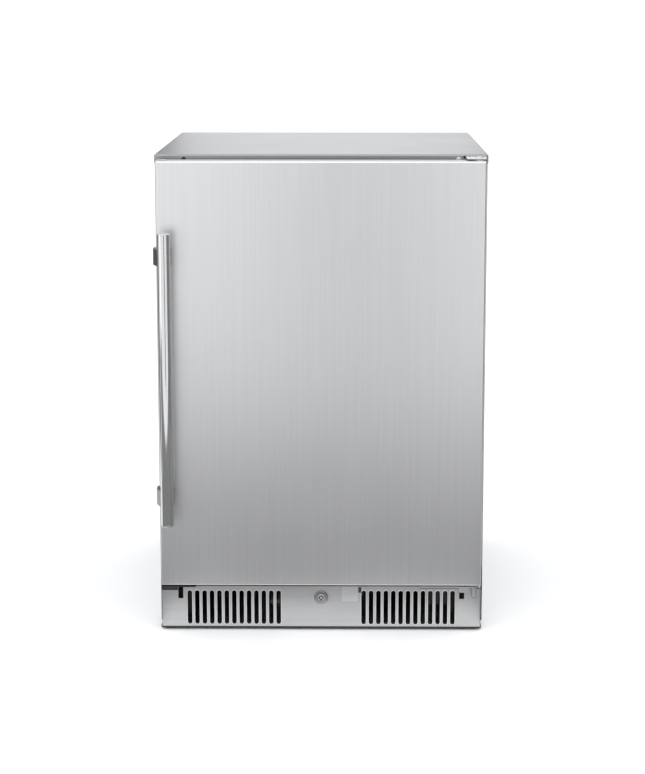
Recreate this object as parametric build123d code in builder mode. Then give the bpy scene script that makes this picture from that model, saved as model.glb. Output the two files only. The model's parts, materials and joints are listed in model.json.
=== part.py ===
from build123d import *
import math
import os

os.makedirs("parts", exist_ok=True)

# Undercounter refrigerator, in millimetres.
# +X is to the right, +Y to the back and +Z up. The door faces -Y.
# The origin is on the floor, in the middle of the whole object's width and depth.

# ------------------------------------------------------------------ driving dimensions

# Cabinet
cabinet_width = 595.0
cabinet_height = 867.0
cabinet_depth = 545.0
side_sheet = 0.8
top_sheet = 1.0
top_skirt = 16.0
top_roll = 3.0
base_sheet = 1.5
base_clearance = 3.0
base_floor_height = 12.0
side_foam = 42.0
top_foam = 49.0
floor_foam = 41.0
rear_foam = 61.2
step_foam = 41.0
liner_wall = 2.0
liner_radius = 10.0
frame_sheet = 1.2

# Compressor space under and behind the cavity
duct_height = 107.0
machine_depth = 210.0
machine_height = 285.0
bulkhead_sheet = 0.8

# Door
door_side_margin = 7.0
door_top_margin = 8.5
door_bottom_height = 86.0
door_thickness = 42.0
door_sheet = 1.0
door_roll = 2.5
door_return = 8.0
door_groove = 2.5
door_groove_depth = 4.0
door_cap = 14.0
door_liner_plate = 4.0
dyke_width = 30.0
dyke_reach = 10.0
dyke_clearance = 7.0
gasket_space = 8.0
gasket_clearance = 0.4
gasket_width = 16.0
gasket_margin = 12.0

# Door hinge
hinge_inset_x = 10.5
hinge_inset_y = 22.0
hinge_plate = 3.0
hinge_gap_top = 2.5
hinge_gap_bottom = 3.0
pin_radius = 4.0
pin_depth = 20.0
running_clearance = 0.06
bushing_wall = 3.0
bushing_flange = 2.0
body_clearance = 0.3

# Handle
handle_diameter = 23.0
handle_wall = 1.5
handle_length = 527.0
handle_bottom = 209.0
handle_reach = 40.0
handle_inset = 17.0
handle_chamfer = 1.2
bracket_height = 29.0
bracket_end_distance = 45.5
bracket_wrap = 14.0
bracket_proud = 5.5

# Toe grille
grille_sheet = 1.2
grille_setback = 4.0
grille_bottom = 7.5
grille_gap = 2.5
slot_width = 8.5
slot_pitch = 13.5
slot_inner = 77.5
slot_outer_margin = 51.0
slot_end_margin_bottom = 4.0
slot_end_margin_top = 8.0
slot_rim = 1.0
slot_rim_height = 0.6

# Lock
lock_height = 62.0
lock_face_radius = 12.3
lock_barrel_radius = 9.5
lock_plug_radius = 6.0
lock_cam_length = 33.0
lock_cam_width = 12.0
lock_cam_sheet = 2.0
lock_cam_setback = 30.0

# Feet
foot_radius = 17.0
foot_pad = 9.0
foot_stem_radius = 5.0
foot_stem_length = 50.0
foot_inset = 35.0
foot_setback = 40.0

# Shelves
shelf_rail_first = 25.0
shelf_rail_pitch = 75.0
shelf_rail_width = 7.0
shelf_rail_height = 5.0
shelf_rod = 3.0
shelf_wire = 1.5
shelf_wire_pitch = 22.0
shelf_front_gap = 55.0
shelf_side_clearance = 2.0
shelf_corner = 14.0

# Evaporator
evaporator_cover_width = 300.0
evaporator_cover_height = 207.0
evaporator_cover_depth = 58.0
evaporator_top_gap = 8.0
evaporator_wall = 2.0
evaporator_fan_radius = 44.0

# Control housing
control_width = 190.0
control_height = 27.0
control_depth = 90.0
control_setback = 24.0
button_radius = 4.5

# Condenser and compressor
condenser_fan_radius = 84.0
compressor_radius = 62.0
compressor_height = 150.0

# ------------------------------------------------------------------ derived places

half_width = cabinet_width / 2
overall_depth = cabinet_depth + gasket_space + door_thickness + handle_reach + handle_diameter / 2
rear_y = overall_depth / 2
front_y = rear_y - cabinet_depth
door_back_y = front_y - gasket_space
door_front_y = door_back_y - door_thickness
handle_y = door_front_y - handle_reach

side_outside_x = half_width - top_sheet
side_inside_x = side_outside_x - side_sheet
sheet_rear_y = rear_y - top_sheet
rear_inside_y = sheet_rear_y - side_sheet

cavity_half = side_inside_x - side_foam - liner_wall
cavity_top = cabinet_height - top_sheet - top_foam - liner_wall
cavity_floor = duct_height + floor_foam + liner_wall
cavity_back = rear_inside_y - rear_foam - liner_wall
machine_front = rear_y - machine_depth
step_front = machine_front - step_foam - liner_wall
step_top = machine_height + step_foam + liner_wall

door_half = half_width - door_side_margin
door_top = cabinet_height - door_top_margin
door_bottom = door_bottom_height
door_plate_front = door_back_y - door_liner_plate

hinge_x = door_half - hinge_inset_x
hinge_y = door_front_y + hinge_inset_y
top_plate_low = door_top + hinge_gap_top
bottom_plate_high = door_bottom - hinge_gap_bottom
bushing_radius = pin_radius + bushing_wall
bushing_bore = pin_radius + running_clearance

handle_x = -(door_half - handle_inset)
handle_radius = handle_diameter / 2
handle_top = handle_bottom + handle_length
bracket_centres = (handle_bottom + bracket_end_distance, handle_top - bracket_end_distance)

grille_front = door_front_y + grille_setback
grille_back = grille_front + grille_sheet
grille_top = door_bottom - grille_gap
base_front = grille_front + grille_sheet + 2.4


def front_plane(y):
    """Upright plane at depth y that looks to the front: sketch x is +X, sketch y is +Z."""
    return Plane.XZ.offset(-y)


def side_plane(x):
    """Upright plane at width x that looks to the right: sketch x is +Y, sketch y is +Z."""
    return Plane.YZ.offset(x)


def block(x, y, z, mode=Mode.ADD):
    """Box between the low and high limits given for each axis."""
    with Locations(((x[0] + x[1]) / 2, (y[0] + y[1]) / 2, (z[0] + z[1]) / 2)):
        Box(x[1] - x[0], y[1] - y[0], z[1] - z[0], mode=mode)


def round_bar(direction, span, centre, radius, mode=Mode.ADD):
    """Cylinder along "x", "y" or "z" over span, its centre line through the two centre values."""
    middle = (span[0] + span[1]) / 2
    place = {
        "x": Location((middle, centre[0], centre[1]), (0, 90, 0)),
        "y": Location((centre[0], middle, centre[1]), (90, 0, 0)),
        "z": Location((centre[0], centre[1], middle)),
    }[direction]
    with Locations(place):
        Cylinder(radius, span[1] - span[0], mode=mode)


def area(x, z, mode=Mode.ADD):
    """Rectangle in the current sketch between the low and high limits given for each axis."""
    with Locations(((x[0] + x[1]) / 2, (z[0] + z[1]) / 2)):
        Rectangle(x[1] - x[0], z[1] - z[0], mode=mode)


# ------------------------------------------------------------------ side panels
# Two flat outer sheets, one on each side.
side_bottom = base_clearance + 2.0
skirt_low = cabinet_height - top_skirt
sheet_top = cabinet_height - top_sheet - top_roll
with BuildPart() as side_panels:
    for side in (-1, 1):
        limits = sorted((side * side_inside_x, side * side_outside_x))
        block(limits, (front_y, sheet_rear_y), (side_bottom, sheet_top))
    for ends in ((front_y - 1, front_y + top_roll), (rear_y - 2 * top_roll, rear_y)):
        block((-half_width, half_width), ends, (skirt_low - 0.5, cabinet_height), mode=Mode.SUBTRACT)
side_panels.part.label = "side_panels"
export_step(side_panels.part, "parts/side_panels.step")

# ------------------------------------------------------------------ top panel
# A shallow upside-down pan with rolled edges. Its front skirt is cut away for the door hinge.
notch_left = hinge_x - 28.0
notch_top = top_plate_low + hinge_plate + 0.3
screw_x = hinge_x - 35.5
screw_z = door_top - 0.5
screw_head_radius = 4.35
with BuildPart() as top_panel:
    block((-half_width, half_width), (front_y, rear_y), (skirt_low, cabinet_height))
    top_face = top_panel.faces().sort_by(Axis.Z)[-1]
    fillet(top_face.edges(), top_roll)
    fillet(top_panel.edges().filter_by(Axis.Z), top_roll - 0.5)
    bottom_face = top_panel.faces().sort_by(Axis.Z)[0]
    offset(amount=-top_sheet, openings=bottom_face)
    with BuildSketch(front_plane(front_y + 2 * top_sheet)):
        with BuildLine():
            Polyline(
                (notch_left, notch_top),
                (notch_left + 6.0, skirt_low - 1.0),
                (half_width - top_roll, skirt_low - 1.0),
                (half_width - top_roll, notch_top),
                close=True,
            )
        make_face()
    extrude(amount=4 * top_sheet, mode=Mode.SUBTRACT)
    for x in (-screw_x, screw_x):
        round_bar("y", (front_y - 1.0, front_y + 3.0), (x, screw_z), 2.6, mode=Mode.SUBTRACT)
top_panel.part.label = "top_panel"
export_step(top_panel.part, "parts/top_panel.step")

# ------------------------------------------------------------------ rear panel
# Upper back sheet, above the compressor space.
with BuildPart() as rear_panel:
    block((1 - side_inside_x, side_inside_x - 1), (rear_inside_y, sheet_rear_y), (machine_height, sheet_top))
rear_panel.part.label = "rear_panel"
export_step(rear_panel.part, "parts/rear_panel.step")


# ------------------------------------------------------------------ inner liner
def cavity_shape(grow):
    """Inside of the refrigerator, with its step over the compressor, grown outwards on all sides but the front."""
    with BuildPart() as shape:
        with BuildSketch(side_plane(-cavity_half - grow)):
            with BuildLine():
                Polyline(
                    (front_y, cavity_floor - grow),
                    (step_front + grow, cavity_floor - grow),
                    (step_front + grow, step_top - grow),
                    (cavity_back + grow, step_top - grow),
                    (cavity_back + grow, cavity_top + grow),
                    (front_y, cavity_top + grow),
                    close=True,
                )
            make_face()
        extrude(amount=2 * (cavity_half + grow))
        walls = shape.faces().filter_by(Axis.X)
        rims = walls.edges().filter_by(lambda edge: edge.center().Y > front_y + 0.01)
        fillet(rims, liner_radius + grow)
    return shape.part


cavity = cavity_shape(0)
liner_outside = cavity_shape(liner_wall)
rail_levels = []
rail_level = step_top + shelf_rail_first
while rail_level < cavity_top - shelf_rail_pitch:
    rail_levels.append(rail_level)
    rail_level += shelf_rail_pitch
cover_front = cavity_back - evaporator_cover_depth
rail_front = front_y + 35.0
rail_back = cover_front - 4.0
drain_x = -60.0
drain_y = cavity_back - 22.0
drain_radius = 6.0
line_x = (90.0, 110.0)
line_y = cavity_back + 32.0
line_radius = 3.0
line_bend = 9.0
line_heights = (cavity_top - 160.0, cavity_top - 145.0)
with BuildPart() as inner_liner:
    add(liner_outside)
    add(cavity, mode=Mode.SUBTRACT)
    for level in rail_levels:
        for side in (-1, 1):
            limits = sorted((side * (cavity_half - shelf_rail_width), side * (cavity_half + liner_wall / 2)))
            block(limits, (rail_front, rail_back), (level - shelf_rail_height, level))
    round_bar("z", (step_top - 3.0, step_top + 1.0), (drain_x, drain_y), drain_radius, mode=Mode.SUBTRACT)
    for x, z in zip(line_x, line_heights):
        hole = (cavity_back - 1.0, cavity_back + 3.0)
        round_bar("y", hole, (x, z), line_radius + 0.2, mode=Mode.SUBTRACT)
inner_liner.part.label = "inner_liner"
export_step(inner_liner.part, "parts/inner_liner.step")

# ------------------------------------------------------------------ cabinet foam
# Insulation between the outer sheets and the liner, with pockets for the two hinge positions.
foam_top = cabinet_height - top_sheet - 2.2
pocket_half = 24.0
pocket_back = front_y + 62.0
hinge_screw_places = [(hinge_x - 10.0, front_y + 18.0), (hinge_x - 10.0, front_y + 42.0)]
hinge_screw_radius = 2.5
with BuildPart() as cabinet_foam:
    block((-side_inside_x, side_inside_x), (front_y + frame_sheet, rear_inside_y), (duct_height, foam_top))
    block((-side_inside_x - 1, side_inside_x + 1), (machine_front, rear_y), (0, machine_height),
          mode=Mode.SUBTRACT)
    add(liner_outside, mode=Mode.SUBTRACT)
    for side in (-1, 1):
        limits = sorted((side * (hinge_x - pocket_half), side * (side_inside_x + 1)))
        block(limits, (front_y, pocket_back), (top_plate_low, foam_top + 1), mode=Mode.SUBTRACT)
    for x, y in hinge_screw_places:
        round_bar("z", (top_plate_low - 12.2, foam_top), (x, y), hinge_screw_radius + 0.1, mode=Mode.SUBTRACT)
    block((-side_inside_x, side_inside_x), (front_y, front_y + top_sheet + 0.2), (skirt_low - 1,
                                                                                  foam_top + 1),
          mode=Mode.SUBTRACT)
    block((notch_left - 2.0, side_inside_x + 1), (front_y, front_y + 14.0), (skirt_low - 1, foam_top + 1),
          mode=Mode.SUBTRACT)
    for x in (-screw_x, screw_x):
        round_bar("y", (front_y, front_y + 13.0), (x, screw_z), 2.6, mode=Mode.SUBTRACT)
    round_bar("z", (machine_height - 1, step_top), (drain_x, drain_y), drain_radius, mode=Mode.SUBTRACT)
    for x, z in zip(line_x, line_heights):
        block((x - 4.0, x + 4.0), (line_y - 4.0, line_y + 4.0), (machine_height - 1, z + 4.0),
              mode=Mode.SUBTRACT)
        block((x - 4.0, x + 4.0), (cavity_back, line_y + 4.0), (z - 4.0, z + 4.0), mode=Mode.SUBTRACT)
        block((x - 4.0, x + 4.0), (line_y - line_bend, line_y + 4.0), (z - line_bend, z + 4.0),
              mode=Mode.SUBTRACT)
    round_corner = cabinet_foam.edges().filter_by(Axis.Z).group_by(Axis.Y)[-1]
    fillet(round_corner, top_roll - 0.5)
cabinet_foam.part.label = "cabinet_foam"
export_step(cabinet_foam.part, "parts/cabinet_foam.step")

# ------------------------------------------------------------------ machine bulkhead
# Bent sheet that closes the foam towards the compressor space, with the divider of the two air ducts.
with BuildPart() as machine_bulkhead:
    with BuildSketch(side_plane(-side_inside_x)):
        with BuildLine():
            Polyline(
                (front_y + frame_sheet, duct_height),
                (machine_front, duct_height),
                (machine_front, machine_height),
                (rear_inside_y, machine_height),
                (rear_inside_y, machine_height - bulkhead_sheet),
                (machine_front + bulkhead_sheet, machine_height - bulkhead_sheet),
                (machine_front + bulkhead_sheet, duct_height - bulkhead_sheet),
                (front_y + frame_sheet, duct_height - bulkhead_sheet),
                close=True,
            )
        make_face()
    extrude(amount=2 * side_inside_x)
    round_bar("z", (machine_height - 2, machine_height + 1), (drain_x, drain_y), drain_radius,
              mode=Mode.SUBTRACT)
    for x in line_x:
        round_bar("z", (machine_height - 2, machine_height + 1), (x, line_y), line_radius + 0.5,
                  mode=Mode.SUBTRACT)
    block((-0.5, 0.5), (front_y + 8.0, machine_front), (base_floor_height + base_sheet,
                                                        duct_height - bulkhead_sheet))
machine_bulkhead.part.label = "machine_bulkhead"
export_step(machine_bulkhead.part, "parts/machine_bulkhead.step")

# ------------------------------------------------------------------ front frame
plate_left = door_half - 109.5
leg_low = base_floor_height + base_sheet + 22.0
leg_screws = [(door_half - 48.0 + 18.0 * number, leg_low + 20.0) for number in range(3)]
# Steel face around the cavity that the gasket closes on, with a post down each side.
frame_top = skirt_low - 0.5
frame_low = duct_height - bulkhead_sheet
post_width = 60.0
post_low = base_floor_height + base_sheet
with BuildPart() as front_frame:
    block((-side_inside_x, side_inside_x), (front_y, front_y + frame_sheet), (frame_low, frame_top))
    for side in (-1, 1):
        limits = sorted((side * (side_inside_x - post_width), side * (side_inside_x - base_sheet - 0.5)))
        block(limits, (front_y, front_y + frame_sheet), (post_low, frame_low))
    add(liner_outside, mode=Mode.SUBTRACT)
    for x, z in leg_screws:
        round_bar("y", (front_y - 1, front_y + 3), (x, z), 2.6, mode=Mode.SUBTRACT)
front_frame.part.label = "front_frame"
export_step(front_frame.part, "parts/front_frame.step")

# ------------------------------------------------------------------ base pan
# Black steel tray with nuts welded on for the feet. Its front lip shows as a narrow strip under the grille.
foot_x = half_width - foot_inset
foot_front_y = front_y + foot_setback
foot_rear_y = rear_y - foot_inset
foot_places = {
    "foot_front_left": (-foot_x, foot_front_y),
    "foot_front_right": (foot_x, foot_front_y),
    "foot_rear_left": (-foot_x, foot_rear_y),
    "foot_rear_right": (foot_x, foot_rear_y),
}
base_half = side_inside_x
base_nose_half = door_half + 2.0
base_floor_top = base_floor_height + base_sheet
nut_height = 10.0
nose_top = grille_bottom - 0.2
nose_inside = door_half - grille_sheet - 0.5
with BuildPart() as base_pan:
    block((-base_nose_half, base_nose_half), (base_front, front_y), (base_clearance, nose_top))
    nose_corners = base_pan.edges().filter_by(Axis.Y).group_by(Axis.Z)[0]
    fillet(nose_corners, 3.0)
    block((-base_half, base_half), (front_y, rear_inside_y), (base_clearance, base_floor_top))
    block((-nose_inside, nose_inside), (base_front, front_y), (nose_top - 1, base_floor_top))
    block((-base_half + base_sheet, base_half - base_sheet), (front_y, rear_inside_y - base_sheet),
          (base_clearance - 1, base_floor_height), mode=Mode.SUBTRACT)
    block((-nose_inside + base_sheet, nose_inside - base_sheet), (base_front + base_sheet, front_y + 1),
          (base_clearance - 1, base_floor_height), mode=Mode.SUBTRACT)
    for side in (-1, 1):
        limits = sorted((side * (base_half - base_sheet), side * base_half))
        block(limits, (front_y, rear_inside_y), (base_floor_top, base_floor_top + 20.0))
    with BuildSketch(Plane.XY.offset(base_floor_top)):
        with Locations(*foot_places.values()):
            RegularPolygon(10.0, 6)
    extrude(amount=nut_height)
    for x, y in foot_places.values():
        stem_hole = foot_stem_radius + running_clearance
        round_bar("z", (0, base_floor_top + nut_height + 1), (x, y), stem_hole, mode=Mode.SUBTRACT)
base_pan.part.label = "base_pan"
export_step(base_pan.part, "parts/base_pan.step")

# ------------------------------------------------------------------ levelling feet
# Each foot is a threaded stem with a hexagon and a round pad.
foot_hexagon_top = base_floor_height - body_clearance
for name, (x, y) in foot_places.items():
    with BuildPart() as foot:
        round_bar("z", (0, foot_pad), (x, y), foot_radius)
        fillet(foot.edges().group_by(Axis.Z)[0], 2.0)
        chamfer(foot.edges().group_by(Axis.Z)[-1], 2.5)
        with BuildSketch(Plane.XY.offset(foot_pad)):
            with Locations((x, y)):
                RegularPolygon(9.0, 6)
        extrude(amount=foot_hexagon_top - foot_pad)
        round_bar("z", (foot_pad, foot_pad + foot_stem_length), (x, y), foot_stem_radius)
    foot.part.label = name
    export_step(foot.part, f"parts/{name}.step")

# ------------------------------------------------------------------ toe grille
# Brushed kick plate, folded back on all sides, with upright raised-rim slots either side of the lock.
slot_low = grille_bottom + slot_end_margin_bottom
slot_high = grille_top - slot_end_margin_top
slot_length = slot_high - slot_low
slot_middle = (slot_low + slot_high) / 2
slot_count = int((door_half - slot_outer_margin - slot_inner) / slot_pitch + 0.001) + 1
slot_centres = [(side * (slot_inner + slot_pitch * number), slot_middle)
                for side in (-1, 1) for number in range(slot_count)]
corner_slot = (door_half - 39.0, door_half - 30.0)
corner_slot_low = grille_bottom + 52.5
lip_left = door_half - 40.0
lip_right = door_half - 19.5
lip_low = grille_top - 11.5
tongue_left = door_half - 16.5
tongue_right = door_half - 8.5
tongue_low = grille_bottom + 55.0
ledge_z = bottom_plate_high - hinge_plate - 0.5
blank_low = grille_top - 8.0
blank_step = door_half - 29.5
blank_end = door_half - 62.5
sensor = ((67.7, 73.3), (grille_top - 12.0, grille_top - 1.5))
lock_hole_radius = lock_face_radius + 0.7
gap = 0.4
flange_depth = 12.0
return_back = front_y - 0.7
with BuildPart() as toe_grille:
    block((-door_half, door_half), (grille_front, return_back), (grille_bottom, grille_top))
    face_edges = toe_grille.faces().sort_by(Axis.Y)[0].edges()
    fillet(face_edges.filter_by(Axis.Z), 1.5)
    block((-door_half + grille_sheet, door_half - grille_sheet), (grille_back, return_back + 1),
          (grille_bottom - 1, grille_top - grille_sheet), mode=Mode.SUBTRACT)
    block((-door_half + grille_sheet, door_half - grille_sheet), (grille_front + flange_depth,
                                                                  return_back + 1),
          (grille_top - 2 * grille_sheet, grille_top + 1), mode=Mode.SUBTRACT)
    with BuildSketch(front_plane(grille_front)):
        with Locations(*slot_centres):
            SlotOverall(slot_length + 2 * slot_rim, slot_width + 2 * slot_rim, rotation=90)
    extrude(amount=slot_rim_height)
    rims = toe_grille.faces().sort_by(Axis.Y)[0:2 * slot_count].edges()
    fillet(rims, 0.4)
    with BuildSketch(front_plane(grille_back + 1)):
        with Locations(*slot_centres):
            SlotOverall(slot_length, slot_width, rotation=90)
        for side in (-1, 1):
            limits = sorted((side * corner_slot[0], side * corner_slot[1]))
            area(limits, (corner_slot_low, grille_top + 1))
        area(*sensor)
        with Locations((0, lock_height + 0.6)):
            Circle(lock_hole_radius)
    extrude(amount=grille_sheet + 3, mode=Mode.SUBTRACT)
    block((plate_left - gap, door_half + 1), (grille_front - 2, return_back + 1), (ledge_z, grille_top + 1),
          mode=Mode.SUBTRACT)
    block((lip_left - gap, lip_right + gap), (grille_front - 2, grille_back + 1), (lip_low - gap,
                                                                                   grille_top + 1),
          mode=Mode.SUBTRACT)
    block((-door_half - 1, -blank_step), (grille_front - 2, return_back + 1), (blank_low, grille_top + 1),
          mode=Mode.SUBTRACT)
    block((-blank_step - 1, -blank_end), (grille_front - 2, grille_front + flange_depth + 1),
          (grille_top - 2.4, grille_top + 1), mode=Mode.SUBTRACT)
    with BuildSketch(front_plane(grille_back + 1)):
        with BuildLine():
            radius = (tongue_right - tongue_left) / 2 + gap
            middle = (tongue_left + tongue_right) / 2
            Line((middle + radius, tongue_low + radius), (middle + radius, grille_top))
            Line((middle + radius, grille_top), (middle - radius, grille_top))
            Line((middle - radius, grille_top), (middle - radius, tongue_low + radius))
            ThreePointArc((middle - radius, tongue_low + radius), (middle, tongue_low),
                          (middle + radius, tongue_low + radius))
        make_face()
    extrude(amount=grille_sheet + 2, mode=Mode.SUBTRACT)
toe_grille.part.label = "toe_grille"
export_step(toe_grille.part, "parts/toe_grille.step")

# ------------------------------------------------------------------ blank name plate and door sensor
plate_x = (38.0, 67.3)
plate_low = grille_top - 28.5
plate_sheet = 0.6
with BuildPart() as name_plate_blank:
    block(plate_x, (grille_front - plate_sheet, grille_front), (plate_low, grille_top))
    upright = name_plate_blank.edges().filter_by(Axis.Y).group_by(Axis.Z)[0]
    fillet(upright, 3.5)
    outline = name_plate_blank.faces().sort_by(Axis.Y)[0].edges()
    fillet(outline, 0.25)
name_plate_blank.part.label = "name_plate_blank"
export_step(name_plate_blank.part, "parts/name_plate_blank.step")

with BuildPart() as door_sensor:
    block(sensor[0], (grille_front - 0.3, grille_front + 14.0), sensor[1])
    lens = door_sensor.faces().sort_by(Axis.Y)[0].edges()
    fillet(lens, 0.4)
    block((sensor[0][0] - 3, sensor[0][1] + 3), (grille_back, grille_back + 8.0), (sensor[1][0] - 4,
                                                                                   sensor[1][1] - 1))
door_sensor.part.label = "door_sensor"
export_step(door_sensor.part, "parts/door_sensor.step")

# ------------------------------------------------------------------ left hinge blank
# Dark moulding that fills the corner where the bottom hinge goes when the door is changed over.
with BuildPart() as hinge_blank_left:
    block((-door_half + 0.5, -blank_step - gap), (grille_front + 1.0, front_y - 0.7),
          (blank_low + gap, grille_top - 0.6))
    block((-blank_step - gap, -blank_end - gap), (grille_front + 1.5, front_y - 0.7),
          (grille_top - 2.2, grille_top - 0.6))
hinge_blank_left.part.label = "hinge_blank_left"
export_step(hinge_blank_left.part, "parts/hinge_blank_left.step")

# ------------------------------------------------------------------ hinge brackets and pins
plate_right = half_width - 4.5
with BuildPart() as top_hinge_bracket:
    with BuildSketch(Plane.XY.offset(top_plate_low)):
        area((hinge_x - 23.5, plate_right), (hinge_y - 10.0, pocket_back - 1.0))
        fillet(vertices().group_by(Axis.Y)[0], 4.0)
        with Locations((hinge_x, hinge_y), *hinge_screw_places):
            Circle(hinge_screw_radius + 0.1, mode=Mode.SUBTRACT)
        with Locations((hinge_x, hinge_y)):
            Circle(pin_radius, mode=Mode.SUBTRACT)
    extrude(amount=hinge_plate)
    edges_front = top_hinge_bracket.edges().filter_by(Axis.X).group_by(Axis.Y)[0]
    fillet(edges_front, 0.8)
top_hinge_bracket.part.label = "top_hinge_bracket"
export_step(top_hinge_bracket.part, "parts/top_hinge_bracket.step")

bottom_plate_low = bottom_plate_high - hinge_plate
leg_right = door_half - grille_sheet - 1.0
with BuildPart() as bottom_hinge_bracket:
    with BuildSketch(Plane.XY.offset(bottom_plate_low)):
        area((plate_left + 19.0, door_half), (grille_front + 1.6, front_y))
        fillet(vertices().group_by(Axis.Y)[0].sort_by(Axis.X)[-1], 9.0)
        area((plate_left, door_half - 20.0), (grille_front + 1.6, grille_front + 10.0))
        with Locations((hinge_x, hinge_y)):
            Circle(pin_radius, mode=Mode.SUBTRACT)
    extrude(amount=hinge_plate)
    block((lip_left, lip_right), (grille_front - 0.5, grille_front + 1.6), (lip_low, bottom_plate_high))
    lip_edges = bottom_hinge_bracket.faces().sort_by(Axis.Y)[0].edges()
    fillet(lip_edges, 0.4)
    with BuildSketch(front_plane(grille_front + 1.6)):
        middle = (tongue_left + tongue_right) / 2
        radius = (tongue_right - tongue_left) / 2 - 0.3
        area((middle - radius, middle + radius), (tongue_low + radius + 0.7, bottom_plate_high))
        with Locations((middle, tongue_low + radius + 0.7)):
            Circle(radius)
    extrude(amount=1.6)
    block((plate_left + 19.0, leg_right), (front_y - hinge_plate, front_y), (leg_low, bottom_plate_low))
    for x, z in leg_screws:
        round_bar("y", (front_y - 5, front_y + 1), (x, z), 2.6, mode=Mode.SUBTRACT)
bottom_hinge_bracket.part.label = "bottom_hinge_bracket"
export_step(bottom_hinge_bracket.part, "parts/bottom_hinge_bracket.step")

pin_head = 1.4
with BuildPart() as hinge_pins:
    top_plate_high = top_plate_low + hinge_plate
    round_bar("z", (door_top - pin_depth, top_plate_high), (hinge_x, hinge_y), pin_radius)
    round_bar("z", (top_plate_high, top_plate_high + pin_head), (hinge_x, hinge_y), pin_radius + 2.5)
    round_bar("z", (bottom_plate_low, door_bottom + pin_depth), (hinge_x, hinge_y), pin_radius)
    round_bar("z", (bottom_plate_low - pin_head, bottom_plate_low), (hinge_x, hinge_y), pin_radius + 2.5)
hinge_pins.part.label = "hinge_pins"
export_step(hinge_pins.part, "parts/hinge_pins.step")

# ------------------------------------------------------------------ hinge and frame screws
with BuildPart() as cabinet_screws:
    round_bar("y", (front_y - 2.2, front_y), (screw_x, screw_z), screw_head_radius)
    fillet(cabinet_screws.edges().sort_by(Axis.Y)[0], 1.4)
    round_bar("y", (front_y, front_y + 12.0), (screw_x, screw_z), 2.5)
    with BuildSketch(front_plane(front_y - 1.0)):
        with Locations((screw_x, screw_z)):
            Rectangle(4.4, 0.9)
            Rectangle(0.9, 4.4)
    extrude(amount=2.0, mode=Mode.SUBTRACT)
    for x, y in hinge_screw_places:
        round_bar("z", (top_plate_low - 12.0, top_plate_high), (x, y), hinge_screw_radius)
        round_bar("z", (top_plate_high, top_plate_high + 1.5), (x, y), 4.5)
    for x, z in leg_screws:
        round_bar("y", (front_y - hinge_plate, front_y + frame_sheet + 8.0), (x, z), 2.5)
        round_bar("y", (front_y - hinge_plate - 2.2, front_y - hinge_plate), (x, z), 4.5)
cabinet_screws.part.label = "cabinet_screws"
export_step(cabinet_screws.part, "parts/cabinet_screws.step")

with BuildPart() as frame_plug:
    round_bar("y", (front_y - 1.2, front_y), (-screw_x, screw_z), screw_head_radius)
    fillet(frame_plug.edges().sort_by(Axis.Y)[0], 1.0)
    round_bar("y", (front_y, front_y + 9.0), (-screw_x, screw_z), 2.5)
frame_plug.part.label = "frame_plug"
export_step(frame_plug.part, "parts/frame_plug.step")

# ------------------------------------------------------------------ lock
# Tubular key lock. Its cam turns up into a slot in the bottom of the door.
lock_front = grille_front - 0.4
lock_bracket_front = grille_front + 10.0
lock_bracket_sheet = 2.0
lock_cam_front = door_front_y + lock_cam_setback
lock_barrel_back = lock_cam_front - 0.5
lock_centre = (0, lock_height)
nut_front = lock_bracket_front + lock_bracket_sheet
with BuildPart() as lock_mount:
    block((-26, 26), (lock_bracket_front, lock_bracket_front + lock_bracket_sheet), (base_floor_top,
                                                                                     grille_top - 3.0))
    block((-26, 26), (lock_bracket_front, front_y - 1.0), (base_floor_top,
                                                           base_floor_top + lock_bracket_sheet))
    round_bar("y", (lock_bracket_front - 1, lock_bracket_front + 4), lock_centre, lock_barrel_radius + 0.1,
              mode=Mode.SUBTRACT)
    with BuildSketch(front_plane(nut_front + 6.2)):
        with Locations((0, lock_height)):
            RegularPolygon(14.0, 6)
            Circle(lock_barrel_radius, mode=Mode.SUBTRACT)
    extrude(amount=6.0)
lock_mount.part.label = "lock_mount"
export_step(lock_mount.part, "parts/lock_mount.step")

with BuildPart() as lock_body:
    round_bar("y", (lock_front, lock_bracket_front), lock_centre, lock_face_radius)
    fillet(lock_body.edges().sort_by(Axis.Y)[0], 0.8)
    round_bar("y", (lock_bracket_front, lock_barrel_back), lock_centre, lock_barrel_radius)
    round_bar("y", (lock_front - 1, lock_barrel_back + 1), lock_centre, lock_plug_radius + running_clearance,
              mode=Mode.SUBTRACT)
    block((-1.2, 1.2), (lock_front + 0.3, lock_front + 3.0),
          (lock_height + lock_face_radius - 1, lock_height + lock_face_radius + 0.9))
lock_body.part.label = "lock_body"
export_step(lock_body.part, "parts/lock_body.step")

keyway_outer = 4.2
keyway_inner = 2.3
with BuildPart() as lock_plug:
    round_bar("y", (lock_front + 0.2, lock_cam_front), lock_centre, lock_plug_radius)
    with BuildSketch(front_plane(lock_front + 6.0)):
        with Locations((0, lock_height)):
            Circle(keyway_outer)
            Circle(keyway_inner, mode=Mode.SUBTRACT)
        area((-0.8, 0.8), (lock_height - 5.4, lock_height - keyway_inner))
    extrude(amount=7.0, mode=Mode.SUBTRACT)
    block((-2.5, 2.5), (lock_cam_front, lock_cam_front + lock_cam_sheet), (lock_height - 2.5,
                                                                           lock_height + 2.5))
    cam_back = lock_cam_front + lock_cam_sheet
    round_bar("y", (cam_back, cam_back + 2.5), lock_centre, 4.5)
lock_plug.part.label = "lock_plug"
export_step(lock_plug.part, "parts/lock_plug.step")

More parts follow.
